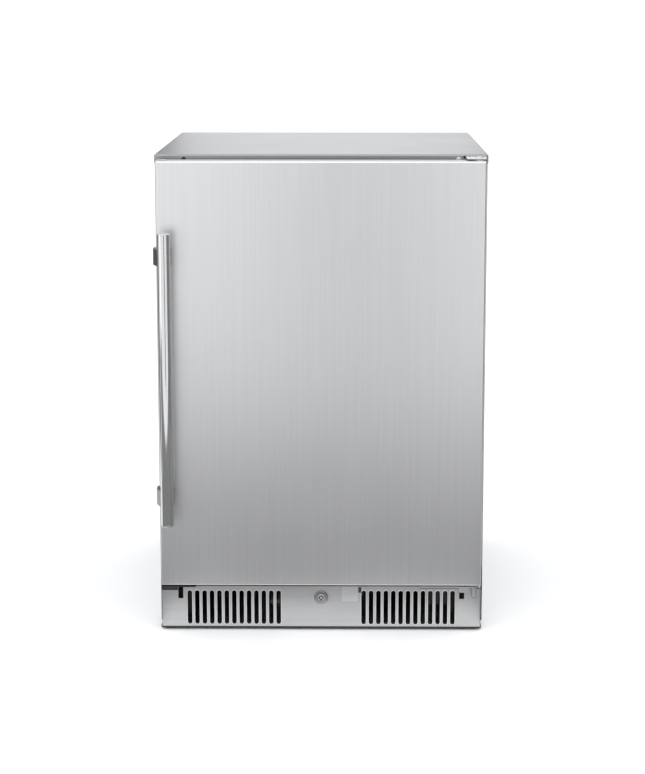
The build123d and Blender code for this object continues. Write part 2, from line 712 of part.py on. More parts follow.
with BuildPart() as lock_cam:
    with BuildSketch(front_plane(lock_cam_front + lock_cam_sheet)):
        with Locations((0, lock_height)):
            Circle(lock_cam_width / 2)
        area((0, lock_cam_length), (lock_height - lock_cam_width / 2, lock_height + lock_cam_width / 2))
        fillet(vertices().group_by(Axis.X)[-1], 2.5)
        with Locations((0, lock_height)):
            Rectangle(5.0, 5.0, mode=Mode.SUBTRACT)
    extrude(amount=lock_cam_sheet)
lock_cam.part.label = "lock_cam"
export_step(lock_cam.part, "parts/lock_cam.step")

# ------------------------------------------------------------------ door skin
# Brushed sheet folded round the front, the two sides and a short way over the top and bottom.
bracket_screw_offsets = (-7.5, 7.5)
bracket_screw_y = door_front_y + bracket_wrap / 2 + 1.0
bracket_screw_radius = 2.0
with BuildPart() as door_skin:
    block((-door_half, door_half), (door_front_y, door_plate_front), (door_bottom, door_top))
    fillet(door_skin.faces().sort_by(Axis.Y)[0].edges(), door_roll)
    inner_half = door_half - door_sheet
    block((-inner_half, inner_half), (door_front_y + door_sheet, door_plate_front + 1),
          (door_bottom + door_sheet, door_top - door_sheet), mode=Mode.SUBTRACT)
    block((-inner_half, inner_half), (door_front_y + door_return, door_plate_front + 1),
          (door_bottom - 1, door_top + 1), mode=Mode.SUBTRACT)
    for centre in bracket_centres:
        for lift in bracket_screw_offsets:
            round_bar("x", (-door_half - 1, -door_half + 3), (bracket_screw_y, centre + lift),
                      bracket_screw_radius + 0.1, mode=Mode.SUBTRACT)
door_skin.part.label = "door_skin"
export_step(door_skin.part, "parts/door_skin.step")

# ------------------------------------------------------------------ door foam
with BuildPart() as door_foam:
    block((-inner_half, inner_half), (door_front_y + door_sheet, door_plate_front),
          (door_bottom + door_cap, door_top - door_cap))
    for centre in bracket_centres:
        for lift in bracket_screw_offsets:
            round_bar("x", (-door_half - 1, -door_half + 15.2), (bracket_screw_y, centre + lift),
                      bracket_screw_radius + 0.1, mode=Mode.SUBTRACT)
    for z in (door_bottom, door_top):
        round_bar("z", (z - pin_depth - 1, z + pin_depth + 1), (hinge_x, hinge_y), bushing_radius,
                  mode=Mode.SUBTRACT)
door_foam.part.label = "door_foam"
export_step(door_foam.part, "parts/door_foam.step")

# ------------------------------------------------------------------ door caps
# Plastic end caps with a groove behind the folded edge of the skin.
raised_front = door_front_y + door_return + door_groove
groove_limits = (door_front_y + door_return, raised_front)
cam_slot_x = (-10.0, lock_cam_length - 1.0)
cam_slot_y = (lock_cam_front - 3.5, lock_cam_front + lock_cam_sheet + 4.5)
cam_slot_depth = lock_height + lock_cam_length - door_bottom + 3.0
for name, outside, inward in (("door_cap_top", door_top, -1), ("door_cap_bottom", door_bottom, 1)):
    with BuildPart() as cap:
        body_limits = sorted((outside + inward * door_sheet, outside + inward * door_cap))
        raised_limits = sorted((outside, outside + inward * door_cap))
        groove_depth = sorted((outside - inward, outside + inward * door_groove_depth))
        block((-inner_half, inner_half), (door_front_y + door_sheet, raised_front), body_limits)
        block((-inner_half, inner_half), (raised_front, door_plate_front), raised_limits)
        block((-inner_half + 2, inner_half - 2), groove_limits, groove_depth, mode=Mode.SUBTRACT)
        for x in (-hinge_x, hinge_x):
            round_bar("z", (outside - door_cap - 1, outside + door_cap + 1), (x, hinge_y), bushing_radius,
                      mode=Mode.SUBTRACT)
        if inward == 1:
            block(cam_slot_x, cam_slot_y, (outside - 1, outside + cam_slot_depth), mode=Mode.SUBTRACT)
    cap.part.label = name
    export_step(cap.part, f"parts/{name}.step")

# ------------------------------------------------------------------ door bushings and hole plugs
bottom_flange = door_bottom - bottom_plate_high - body_clearance
with BuildPart() as door_bushings:
    round_bar("z", (door_top - pin_depth - 1, door_top), (hinge_x, hinge_y), bushing_radius)
    round_bar("z", (door_top, door_top + bushing_flange), (hinge_x, hinge_y), bushing_radius + 2.0)
    round_bar("z", (door_bottom, door_bottom + pin_depth + 1), (hinge_x, hinge_y), bushing_radius)
    round_bar("z", (door_bottom - bottom_flange, door_bottom), (hinge_x, hinge_y), bushing_radius + 2.0)
    round_bar("z", (door_top - pin_depth - body_clearance, door_top + 5), (hinge_x, hinge_y), bushing_bore,
              mode=Mode.SUBTRACT)
    round_bar("z", (door_bottom - 5, door_bottom + pin_depth + body_clearance), (hinge_x, hinge_y),
              bushing_bore,
              mode=Mode.SUBTRACT)
door_bushings.part.label = "door_bushings"
export_step(door_bushings.part, "parts/door_bushings.step")

with BuildPart() as door_hole_plugs:
    for outside, inward in ((door_top, -1), (door_bottom, 1)):
        stem = sorted((outside, outside + inward * (door_cap - 1.0)))
        head = sorted((outside - inward * 1.2, outside))
        round_bar("z", stem, (-hinge_x, hinge_y), bushing_radius)
        round_bar("z", head, (-hinge_x, hinge_y), bushing_radius + 1.5)
door_hole_plugs.part.label = "door_hole_plugs"
export_step(door_hole_plugs.part, "parts/door_hole_plugs.step")

# ------------------------------------------------------------------ door liner
# White inner plate with a raised border that stands a little way into the cavity.
dyke_half = cavity_half - dyke_clearance
dyke_low = cavity_floor + dyke_clearance
dyke_high = cavity_top - dyke_clearance
with BuildPart() as door_liner:
    block((-door_half + 0.5, door_half - 0.5), (door_plate_front, door_back_y), (door_bottom + 0.5,
                                                                                 door_top - 0.5))
    with BuildSketch(front_plane(front_y + dyke_reach)):
        area((-dyke_half, dyke_half), (dyke_low, dyke_high))
        fillet(vertices(), 12.0)
        area((-dyke_half + dyke_width, dyke_half - dyke_width), (dyke_low + dyke_width,
                                                                 dyke_high - dyke_width),
             mode=Mode.SUBTRACT)
    extrude(amount=dyke_reach + gasket_space)
    border = door_liner.faces().sort_by(Axis.Y)[-1].edges()
    fillet(border, 5.0)
door_liner.part.label = "door_liner"
export_step(door_liner.part, "parts/door_liner.step")

# ------------------------------------------------------------------ door gasket
gasket_inner_half = cavity_half + liner_wall + gasket_margin
gasket_inner_low = cavity_floor - liner_wall - gasket_margin
gasket_inner_high = cavity_top + liner_wall + gasket_margin
with BuildPart() as door_gasket:
    with BuildSketch(front_plane(front_y - gasket_clearance)):
        outer = gasket_inner_half + gasket_width
        area((-outer, outer), (gasket_inner_low - gasket_width, gasket_inner_high + gasket_width))
        area((-gasket_inner_half, gasket_inner_half), (gasket_inner_low, gasket_inner_high),
             mode=Mode.SUBTRACT)
    extrude(amount=gasket_space - gasket_clearance)
    fillet(door_gasket.faces().sort_by(Axis.Y)[-1].edges(), 2.5)
door_gasket.part.label = "door_gasket"
export_step(door_gasket.part, "parts/door_gasket.step")

# ------------------------------------------------------------------ handle
with BuildPart() as handle_bar:
    cap_plate = 3.0
    tube_span = (handle_bottom + cap_plate, handle_top - cap_plate)
    round_bar("z", tube_span, (handle_x, handle_y), handle_radius)
    round_bar("z", tube_span, (handle_x, handle_y), handle_radius - handle_wall, mode=Mode.SUBTRACT)
    for centre in bracket_centres:
        round_bar("y", (handle_y, handle_y + handle_radius + 1), (handle_x, centre), 2.6, mode=Mode.SUBTRACT)
    for end, inward in ((handle_bottom, 1), (handle_top, -1)):
        plate = sorted((end, end + inward * cap_plate))
        round_bar("z", plate, (handle_x, handle_y), handle_radius)
    ends = handle_bar.faces().filter_by(Axis.Z).sort_by(Axis.Z)
    chamfer(ends[0].edges() + ends[-1].edges(), handle_chamfer)
handle_bar.part.label = "handle_bar"
export_step(handle_bar.part, "parts/handle_bar.step")

bracket_left = -door_half - bracket_proud
bracket_taper_x = handle_x - handle_radius - 1.5
bracket_right = handle_x + 9.5
with BuildPart() as handle_brackets:
    for centre in bracket_centres:
        with BuildSketch(Plane.XY.offset(centre - bracket_height / 2)):
            with BuildLine():
                Polyline(
                    (bracket_left, door_front_y + bracket_wrap),
                    (-door_half, door_front_y + bracket_wrap),
                    (-door_half, door_front_y),
                    (bracket_right, door_front_y),
                    (bracket_right, handle_y + 8.0),
                    (handle_x, handle_y),
                    (bracket_taper_x, handle_y + 13.0),
                    (bracket_left, door_front_y - 4.0),
                    close=True,
                )
            make_face()
            with Locations((handle_x, handle_y)):
                Circle(handle_radius, mode=Mode.SUBTRACT)
        extrude(amount=bracket_height)
    outer_edges = handle_brackets.edges().filter_by(Axis.Z).group_by(Axis.X)[0]
    fillet(outer_edges, 1.5)
    for centre in bracket_centres:
        for lift in bracket_screw_offsets:
            place = (bracket_screw_y, centre + lift)
            round_bar("x", (bracket_left - 1, -door_half + 1), place, bracket_screw_radius + 0.1,
                      mode=Mode.SUBTRACT)
            round_bar("x", (bracket_left - 1, bracket_left + 2.2), place, 3.6, mode=Mode.SUBTRACT)
        round_bar("y", (handle_y, door_front_y + 1), (handle_x, centre), 2.6, mode=Mode.SUBTRACT)
        round_bar("y", (door_front_y - 5.2, door_front_y + 1), (handle_x, centre), 4.7, mode=Mode.SUBTRACT)
handle_brackets.part.label = "handle_brackets"
export_step(handle_brackets.part, "parts/handle_brackets.step")

with BuildPart() as handle_screws:
    for centre in bracket_centres:
        for lift in bracket_screw_offsets:
            place = (bracket_screw_y, centre + lift)
            round_bar("x", (bracket_left + 2.2, -door_half + 15.0), place, bracket_screw_radius)
            round_bar("x", (bracket_left + 0.4, bracket_left + 2.2), place, 3.4)
        round_bar("y", (handle_y + handle_radius - 4.0, door_front_y - 5.2), (handle_x, centre), 2.5)
        round_bar("y", (door_front_y - 5.2, door_front_y - 1.0), (handle_x, centre), 4.5)
handle_screws.part.label = "handle_screws"
export_step(handle_screws.part, "parts/handle_screws.step")

# ------------------------------------------------------------------ wire shelves
# Each shelf is a rounded rod frame with wires from front to back and two rods under them.
shelf_half = cavity_half - shelf_side_clearance
shelf_front = front_y + shelf_front_gap
shelf_back = cover_front - 8.0
shelf_lift = 0.3
shelf_levels = {
    "shelf_lower": rail_levels[0],
    "shelf_middle": rail_levels[2],
    "shelf_upper": rail_levels[4],
}
wire_count = int((2 * shelf_half - 2 * shelf_wire_pitch) / shelf_wire_pitch)
for name, level in shelf_levels.items():
    frame_z = level + shelf_lift + shelf_rod
    frame_left = -shelf_half + shelf_rod
    frame_front = shelf_front + shelf_rod
    frame_back = shelf_back - shelf_rod
    with BuildPart() as shelf:
        for x in (frame_left, -frame_left):
            round_bar("y", (frame_front + shelf_corner, frame_back - shelf_corner), (x, frame_z), shelf_rod)
        for y in (frame_front, frame_back):
            round_bar("x", (frame_left + shelf_corner, -frame_left - shelf_corner), (y, frame_z), shelf_rod)
        for x_side in (-1, 1):
            for y_side, y in ((-1, frame_front), (1, frame_back)):
                centre_x = x_side * (-frame_left - shelf_corner)
                centre_y = y - y_side * shelf_corner
                angle = math.degrees(math.atan2(y_side, x_side)) - 45
                radial = (math.cos(math.radians(angle)), math.sin(math.radians(angle)), 0)
                tangent = (-radial[1], radial[0], 0)
                section = Plane(origin=(centre_x, centre_y, frame_z), x_dir=radial, z_dir=tangent)
                with BuildSketch(section):
                    with Locations((shelf_corner, 0)):
                        Circle(shelf_rod)
                revolve(axis=Axis((centre_x, centre_y, frame_z), (0, 0, 1)), revolution_arc=90)
        wire_z = frame_z + shelf_rod - shelf_wire / 2
        for number in range(wire_count):
            x = (number - (wire_count - 1) / 2) * shelf_wire_pitch
            round_bar("y", (frame_front, frame_back), (x, wire_z), shelf_wire)
        for share in (1 / 3, 2 / 3):
            y = frame_front + share * (frame_back - frame_front)
            round_bar("x", (frame_left, -frame_left), (y, frame_z), shelf_rod * 0.8)
    shelf.part.label = name
    export_step(shelf.part, f"parts/{name}.step")

# ------------------------------------------------------------------ evaporator, cover and fan
cover_half = evaporator_cover_width / 2
cover_top = cavity_top - evaporator_top_gap
cover_low = cover_top - evaporator_cover_height
evaporator_fan_z = cover_top - 58.0
fan_opening = evaporator_fan_radius + 4.0
with BuildPart() as evaporator_cover:
    block((-cover_half, cover_half), (cover_front, cavity_back), (cover_low, cover_top))
    fillet(evaporator_cover.faces().sort_by(Axis.Y)[0].edges(), 6.0)
    cover_back_face = evaporator_cover.faces().sort_by(Axis.Y)[-1]
    offset(amount=-evaporator_wall, openings=cover_back_face)
    round_bar("y", (cover_front - 1, cover_front + 4), (0, evaporator_fan_z), fan_opening, mode=Mode.SUBTRACT)
    with BuildSketch(front_plane(cover_front + evaporator_wall)):
        with Locations((0, evaporator_fan_z)):
            for ring in range(1, 5):
                Circle(fan_opening * ring / 4.6 + 1.0)
                Circle(fan_opening * ring / 4.6 - 1.0, mode=Mode.SUBTRACT)
            Circle(fan_opening / 4.6)
            for angle in range(0, 180, 45):
                Rectangle(2 * fan_opening + 1.0, 2.4, rotation=angle)
    extrude(amount=evaporator_wall)
    for number in range(6):
        z = cover_low + 22.0 + number * 9.0
        block((-cover_half + 30, cover_half - 30), (cover_front - 1, cover_front + 4), (z, z + 4.0),
              mode=Mode.SUBTRACT)
evaporator_cover.part.label = "evaporator_cover"
export_step(evaporator_cover.part, "parts/evaporator_cover.step")

fin_low = cover_low + 8.0
fin_half = cover_half - 22.0
fin_front = cavity_back - 36.0
fin_back = cavity_back - 2.0
fin_pitch = 8.0
fin_count = int(2 * fin_half / fin_pitch) + 1
with BuildPart() as evaporator:
    for number in range(fin_count):
        x = (number - (fin_count - 1) / 2) * fin_pitch
        block((x - 0.4, x + 0.4), (fin_front, fin_back), (fin_low, line_heights[0] - 12.0))
    for row in range(3):
        z = fin_low + 10.0 + row * 20.0
        for y in (fin_front + 8.0, fin_back - 8.0):
            round_bar("x", (-fin_half - 6, fin_half + 6), (y, z), 4.0)
    for x in (-fin_half - 8, fin_half + 6):
        block((x, x + 2), (fin_front, fin_back), (fin_low, line_heights[0] - 12.0))
    for x, z in zip(line_x, line_heights):
        stub_y = fin_back - 8.0
        round_bar("z", (fin_low + 50.0, z + 4.0), (x, stub_y), 4.0)
evaporator.part.label = "evaporator"
export_step(evaporator.part, "parts/evaporator.step")

evaporator_blade_front = cover_front + 6.0
evaporator_hub_back = evaporator_blade_front + 18.0
shaft_radius = 1.5
with BuildPart() as evaporator_fan_motor:
    round_bar("y", (evaporator_hub_back + 1.5, cavity_back - 6.0), (0, evaporator_fan_z), 22.0)
    block((-60, 60), (cavity_back - 6.0, cavity_back), (evaporator_fan_z - 8, evaporator_fan_z + 8))
    round_bar("y", (evaporator_hub_back, evaporator_hub_back + 10.0), (0, evaporator_fan_z),
              shaft_radius + running_clearance, mode=Mode.SUBTRACT)
evaporator_fan_motor.part.label = "evaporator_fan_motor"
export_step(evaporator_fan_motor.part, "parts/evaporator_fan_motor.step")

with BuildPart(front_plane(evaporator_blade_front + 9.0)) as evaporator_fan_blade:
    with Locations((0, evaporator_fan_z, 0)):
        Cylinder(13.0, 18.0)
        with PolarLocations(27.5, 7):
            Box(33.0, 1.6, 19.0, rotation=(38, 0, 0))
        Cylinder(evaporator_fan_radius, 17.0, mode=Mode.INTERSECT)
        Cylinder(13.0, 18.0)
    with Locations((0, evaporator_fan_z, -13.5)):
        Cylinder(shaft_radius, 9.0)
evaporator_fan_blade.part.label = "evaporator_fan_blade"
export_step(evaporator_fan_blade.part, "parts/evaporator_fan_blade.step")

# ------------------------------------------------------------------ control housing, display, buttons, lamp
control_half = control_width / 2
control_front = front_y + control_setback
control_back = control_front + control_depth
control_low = cavity_top - control_height
control_wall = 2.0
control_middle = control_low + control_height / 2 - 1.0
button_places = {"button_power": -62.0, "button_down": 40.0, "button_up": 62.0}
display_half = 23.0
display_height = 13.0
lamp_limits = ((-60.0, 60.0), (control_front + 32.0, control_front + 62.0))
with BuildPart() as control_housing:
    block((-control_half, control_half), (control_front, control_back), (control_low, cavity_top))
    lower = control_housing.faces().sort_by(Axis.Z)[0].edges()
    fillet(lower, 4.0)
    top_opening = control_housing.faces().sort_by(Axis.Z)[-1]
    offset(amount=-control_wall, openings=top_opening)
    for x in button_places.values():
        round_bar("y", (control_front - 1, control_front + 5), (x, control_middle),
                  button_radius + body_clearance,
                  mode=Mode.SUBTRACT)
    block((-display_half, display_half), (control_front - 1, control_front + 5),
          (control_middle - display_height / 2, control_middle + display_height / 2), mode=Mode.SUBTRACT)
    block(*lamp_limits, (control_low - 1, control_low + 5), mode=Mode.SUBTRACT)
control_housing.part.label = "control_housing"
export_step(control_housing.part, "parts/control_housing.step")

with BuildPart() as control_display:
    block((-display_half, display_half), (control_front + 0.4, control_front + control_wall),
          (control_middle - display_height / 2, control_middle + display_height / 2))
    block((-display_half - 4, display_half + 4), (control_front + control_wall, control_front + 5.0),
          (control_middle - display_height / 2 - 1, control_middle + display_height / 2 + 2))
control_display.part.label = "control_display"
export_step(control_display.part, "parts/control_display.step")

with BuildPart() as led_lamp:
    block(*lamp_limits, (control_low - 1.5, control_low + control_wall))
    fillet(led_lamp.faces().sort_by(Axis.Z)[0].edges(), 1.2)
led_lamp.part.label = "led_lamp"
export_step(led_lamp.part, "parts/led_lamp.step")

for name, x in button_places.items():
    with BuildPart() as button:
        round_bar("y", (control_front - 1.8, control_front + 4.0), (x, control_middle), button_radius)
        fillet(button.edges().sort_by(Axis.Y)[0], 0.8)
        round_bar("y", (control_front + control_wall + body_clearance, control_front + 4.0), (x,
                                                                                              control_middle),
                  button_radius + 1.5)
    button.part.label = name
    export_step(button.part, f"parts/{name}.step")

# ------------------------------------------------------------------ compressor
compressor_x = half_width - 147.5
compressor_y = (machine_front + rear_inside_y) / 2
compressor_base = base_floor_top + 14.0
compressor_top = compressor_base + compressor_height + 4.0
mount_offsets = [(x * 84.0, y * 56.0) for x in (-1, 1) for y in (-1, 1)]
discharge_z = compressor_base + 115.0
stub_end = compressor_x - compressor_radius - 12.0
with BuildPart() as compressor:
    with BuildSketch(Plane.XY.offset(compressor_base)):
        with Locations((compressor_x, compressor_y)):
            RectangleRounded(192.0, 136.0, 14.0)
        with Locations(*[(compressor_x + x, compressor_y + y) for x, y in mount_offsets]):
            Circle(4.0, mode=Mode.SUBTRACT)
    extrude(amount=4.0)
    round_bar("z", (compressor_base + 4.0, compressor_top), (compressor_x, compressor_y), compressor_radius)
    fillet(compressor.edges().group_by(Axis.Z)[-1], 26.0)
    seam = compressor_base + 72.0
    round_bar("z", (seam, seam + 4.0), (compressor_x, compressor_y), compressor_radius + 4.0)
    round_bar("x", (stub_end, compressor_x), (compressor_y, discharge_z), line_radius + 1.5)
    round_bar("z", (compressor_top - 8.0, compressor_top + 12.0), (compressor_x - 20, compressor_y),
              line_radius + 1.5)
compressor.part.label = "compressor"
export_step(compressor.part, "parts/compressor.step")

with BuildPart() as compressor_mounts:
    for x, y in mount_offsets:
        centre = (compressor_x + x, compressor_y + y)
        round_bar("z", (base_floor_top, compressor_base), centre, 10.0)
        round_bar("z", (compressor_base, compressor_base + 7.0), centre, 4.0)
        round_bar("z", (compressor_base + 7.0, compressor_base + 10.0), centre, 7.5)
compressor_mounts.part.label = "compressor_mounts"
export_step(compressor_mounts.part, "parts/compressor_mounts.step")

box_front = compressor_y - compressor_radius - 26.0
with BuildPart() as compressor_cover:
    block((compressor_x - 28, compressor_x + 28), (box_front, compressor_y), (compressor_base + 12,
                                                                              seam - 4.0))
    round_bar("z", (compressor_base, seam), (compressor_x, compressor_y), compressor_radius,
              mode=Mode.SUBTRACT)
    fillet(compressor_cover.edges().filter_by(Axis.Z).group_by(Axis.Y)[0], 4.0)
compressor_cover.part.label = "compressor_cover"
export_step(compressor_cover.part, "parts/compressor_cover.step")

# ------------------------------------------------------------------ condenser, shroud and fan
condenser_left = -half_width + 54.0
condenser_right = condenser_left + 58.0
condenser_limits_y = (machine_front + 12.0, rear_inside_y - 12.0)
condenser_limits_z = (base_floor_top + 8.0, base_floor_top + 212.0)
condenser_fins = 22
with BuildPart() as condenser:
    fin_step = (condenser_limits_y[1] - condenser_limits_y[0] - 4.0) / (condenser_fins - 1)
    for number in range(condenser_fins):
        y = condenser_limits_y[0] + 2.0 + number * fin_step
        block((condenser_left, condenser_right), (y - 0.5, y + 0.5), condenser_limits_z)
    for column in (14.0, 44.0):
        for row in range(6):
            z = condenser_limits_z[0] + 18.0 + row * 34.0
            round_bar("y", condenser_limits_y, (condenser_left + column, z), 4.5)
    round_bar("z", (condenser_limits_z[1] - 16.0, condenser_limits_z[1] + 5.0),
              (condenser_left + 30.0, condenser_limits_y[0] + 26.0), line_radius + 1.5)
    round_bar("z", (condenser_limits_z[1] - 16.0, condenser_limits_z[1] + 5.0),
              (condenser_left + 30.0, line_y), line_radius + 1.5)
    block((condenser_left, condenser_right), condenser_limits_y,
          (condenser_limits_z[1] - 18.0, condenser_limits_z[1] - 16.0))
condenser.part.label = "condenser"
export_step(condenser.part, "parts/condenser.step")

shroud_left = condenser_right + 4.0
shroud_sheet = 2.0
condenser_fan_y = compressor_y
condenser_fan_z = (condenser_limits_z[0] + condenser_limits_z[1]) / 2 - 4.0
blade_left = shroud_left + 6.0
blade_right = blade_left + 26.0
motor_left = blade_right + 2.0
motor_right = motor_left + 34.0
with BuildPart() as condenser_fan_shroud:
    block((shroud_left, shroud_left + shroud_sheet), condenser_limits_y,
          (base_floor_top, condenser_limits_z[1]))
    round_bar("x", (shroud_left, blade_right - 6.0), (condenser_fan_y, condenser_fan_z),
              condenser_fan_radius + 6.0)
    round_bar("x", (shroud_left - 1, blade_right + 1), (condenser_fan_y, condenser_fan_z),
              condenser_fan_radius + 4.0, mode=Mode.SUBTRACT)
condenser_fan_shroud.part.label = "condenser_fan_shroud"
export_step(condenser_fan_shroud.part, "parts/condenser_fan_shroud.step")

arm_reach = condenser_fan_radius + 5.0
with BuildPart() as condenser_fan_motor:
    round_bar("x", (motor_left, motor_right), (condenser_fan_y, condenser_fan_z), 29.0)
    fillet(condenser_fan_motor.edges().sort_by(Axis.X)[-1], 5.0)
    with BuildSketch(side_plane(motor_left + 6.0)):
        with Locations((condenser_fan_y, condenser_fan_z)):
            with PolarLocations(arm_reach / 2 + 6.0, 4, start_angle=45):
                Rectangle(arm_reach - 12.0, 8.0)
    extrude(amount=3.0)
    with BuildSketch(side_plane(blade_right - 6.0)):
        with Locations((condenser_fan_y, condenser_fan_z)):
            with PolarLocations(arm_reach - 0.5, 4, start_angle=45):
                Rectangle(5.0, 8.0)
            Circle(condenser_fan_radius + 4.2, mode=Mode.SUBTRACT)
    extrude(amount=motor_left + 6.0 - blade_right + 6.0)
    round_bar("x", (motor_left - 1, motor_left + 12.0), (condenser_fan_y, condenser_fan_z),
              shaft_radius + 1.0 + running_clearance, mode=Mode.SUBTRACT)
condenser_fan_motor.part.label = "condenser_fan_motor"
export_step(condenser_fan_motor.part, "parts/condenser_fan_motor.step")

with BuildPart(side_plane((blade_left + blade_right) / 2)) as condenser_fan_blade:
    blade_depth = blade_right - blade_left
    blade_span = condenser_fan_radius - 22.0
    with Locations((condenser_fan_y, condenser_fan_z, 0)):
        with PolarLocations(22.0 + blade_span / 2 - 3.0, 5):
            Box(blade_span + 6.0, 2.0, 34.0, rotation=(52, 0, 0))
        Cylinder(condenser_fan_radius, blade_depth - 1.0, mode=Mode.INTERSECT)
        Cylinder(24.0, blade_depth)
    with Locations((condenser_fan_y, condenser_fan_z, blade_depth / 2 + 6.0)):
        Cylinder(shaft_radius + 1.0, 12.0)
condenser_fan_blade.part.label = "condenser_fan_blade"
export_step(condenser_fan_blade.part, "parts/condenser_fan_blade.step")

# ------------------------------------------------------------------ condensate pan and drain tube
pan_x = (drain_x - 55.0, drain_x + 75.0)
pan_y = (machine_front + 20.0, rear_inside_y - 10.0)
pan_top = base_floor_top + 34.0
with BuildPart() as condensate_drain:
    block(pan_x, pan_y, (base_floor_top, pan_top))
    fillet(condensate_drain.edges().filter_by(Axis.Z), 10.0)
    fillet(condensate_drain.faces().sort_by(Axis.Z)[0].edges(), 4.0)
    offset(amount=-2.0, openings=condensate_drain.faces().sort_by(Axis.Z)[-1])
    round_bar("z", (pan_top - 14.0, step_top), (drain_x, drain_y), drain_radius)
    round_bar("z", (pan_top - 15.0, step_top + 1), (drain_x, drain_y), drain_radius - 1.5, mode=Mode.SUBTRACT)
condensate_drain.part.label = "condensate_drain"
export_step(condensate_drain.part, "parts/condensate_drain.step")

# ------------------------------------------------------------------ refrigerant lines and filter drier
pipe_z = machine_height - 24.0
condenser_port_x = condenser_left + 30.0
port_front_y = condenser_limits_y[0] + 26.0
port_rear_y = line_y
port_top = condenser_limits_z[1] + 5.0
drier_x = (-30.0, 50.0)
drier_radius = 9.0
evaporator_stub_y = fin_back - 8.0 + 4.0
pipe_routes = [
    [
        (stub_end, compressor_y, discharge_z),
        (stub_end - 20.0, compressor_y, discharge_z),
        (stub_end - 20.0, port_front_y, discharge_z),
        (stub_end - 20.0, port_front_y, pipe_z),
        (condenser_port_x, port_front_y, pipe_z),
        (condenser_port_x, port_front_y, port_top),
    ],
    [
        (condenser_port_x, port_rear_y, port_top),
        (condenser_port_x, port_rear_y, pipe_z),
        (drier_x[0], port_rear_y, pipe_z),
    ],
    [
        (drier_x[1], port_rear_y, pipe_z),
        (line_x[0], line_y, pipe_z),
        (line_x[0], line_y, line_heights[0]),
        (line_x[0], evaporator_stub_y, line_heights[0]),
    ],
    [
        (compressor_x - 20, compressor_y, compressor_top + 12.0),
        (compressor_x - 20, compressor_y, pipe_z),
        (line_x[1], compressor_y, pipe_z),
        (line_x[1], line_y, pipe_z),
        (line_x[1], line_y, line_heights[1]),
        (line_x[1], evaporator_stub_y, line_heights[1]),
    ],
]
with BuildPart() as refrigerant_lines:
    for route in pipe_routes:
        with BuildLine() as run:
            bends = FilletPolyline(*route, radius=line_bend)
        with BuildSketch(Plane(origin=bends @ 0, z_dir=bends % 0)):
            Circle(line_radius)
        sweep(path=run.line)
    round_bar("x", drier_x, (port_rear_y, pipe_z), drier_radius)
refrigerant_lines.part.label = "refrigerant_lines"
export_step(refrigerant_lines.part, "parts/refrigerant_lines.step")

# ------------------------------------------------------------------ rear service cover and power inlet
vent_columns = 9
vent_rows = 4
inlet_x = -half_width + 90.0
inlet_z = base_floor_top + 235.0
inlet_radius = 11.0
with BuildPart() as rear_service_cover:
    block((-side_inside_x, side_inside_x), (rear_inside_y, sheet_rear_y),
          (base_clearance, machine_height))
    with BuildSketch(front_plane(sheet_rear_y + 1)):
        with Locations((0, base_floor_top + 95.0)):
            with GridLocations(58.0, 44.0, vent_columns, vent_rows):
                SlotOverall(40.0, 7.0)
        with Locations((inlet_x, inlet_z)):
            Circle(inlet_radius)
    extrude(amount=4, mode=Mode.SUBTRACT)
rear_service_cover.part.label = "rear_service_cover"
export_step(rear_service_cover.part, "parts/rear_service_cover.step")

with BuildPart() as power_inlet:
    round_bar("y", (rear_inside_y - 12.0, sheet_rear_y), (inlet_x, inlet_z), inlet_radius)
    round_bar("y", (sheet_rear_y, rear_y), (inlet_x, inlet_z), inlet_radius + 3.0)
    round_bar("y", (rear_inside_y - 16.0, rear_inside_y), (inlet_x, inlet_z), inlet_radius + 2.0)
    round_bar("y", (rear_inside_y - 20.0, rear_y + 1), (inlet_x, inlet_z), 4.5, mode=Mode.SUBTRACT)
power_inlet.part.label = "power_inlet"
export_step(power_inlet.part, "parts/power_inlet.step")
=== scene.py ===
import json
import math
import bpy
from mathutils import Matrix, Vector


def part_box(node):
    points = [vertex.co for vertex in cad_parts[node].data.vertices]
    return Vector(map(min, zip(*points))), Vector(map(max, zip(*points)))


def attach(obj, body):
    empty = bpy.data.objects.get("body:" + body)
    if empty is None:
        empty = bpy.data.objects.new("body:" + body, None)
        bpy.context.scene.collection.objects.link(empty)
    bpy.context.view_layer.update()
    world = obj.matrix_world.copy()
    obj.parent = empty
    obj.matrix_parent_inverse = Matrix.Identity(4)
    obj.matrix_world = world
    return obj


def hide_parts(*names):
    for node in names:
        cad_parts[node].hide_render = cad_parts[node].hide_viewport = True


bl_info = {
    "name": "Undercounter refrigerator",
    "version": (1, 0, 0),
    "blender": (4, 5, 0),
    "location": "View3D > Sidebar > Refrigerator",
    "description": "Finishes and fine pieces of a stainless undercounter refrigerator",
    "category": "Object",
}

import bmesh
import bpy
import numpy as np

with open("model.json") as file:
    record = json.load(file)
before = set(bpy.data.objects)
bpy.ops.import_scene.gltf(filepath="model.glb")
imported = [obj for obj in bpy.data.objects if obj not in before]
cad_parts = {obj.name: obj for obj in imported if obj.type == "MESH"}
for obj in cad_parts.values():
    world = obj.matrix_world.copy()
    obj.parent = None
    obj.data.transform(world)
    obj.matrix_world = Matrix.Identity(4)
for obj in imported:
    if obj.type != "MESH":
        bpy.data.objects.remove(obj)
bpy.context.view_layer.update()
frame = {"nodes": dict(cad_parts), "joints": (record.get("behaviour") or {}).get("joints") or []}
nodes = frame["nodes"]
MM = 0.001


def span(node):
    """Lowest corner, highest corner and middle of a node, as arrays."""
    low, high = (np.array(corner, float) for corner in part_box(node))
    return low, high, (low + high) / 2


# ---------------------------------------------------------------- surfaces

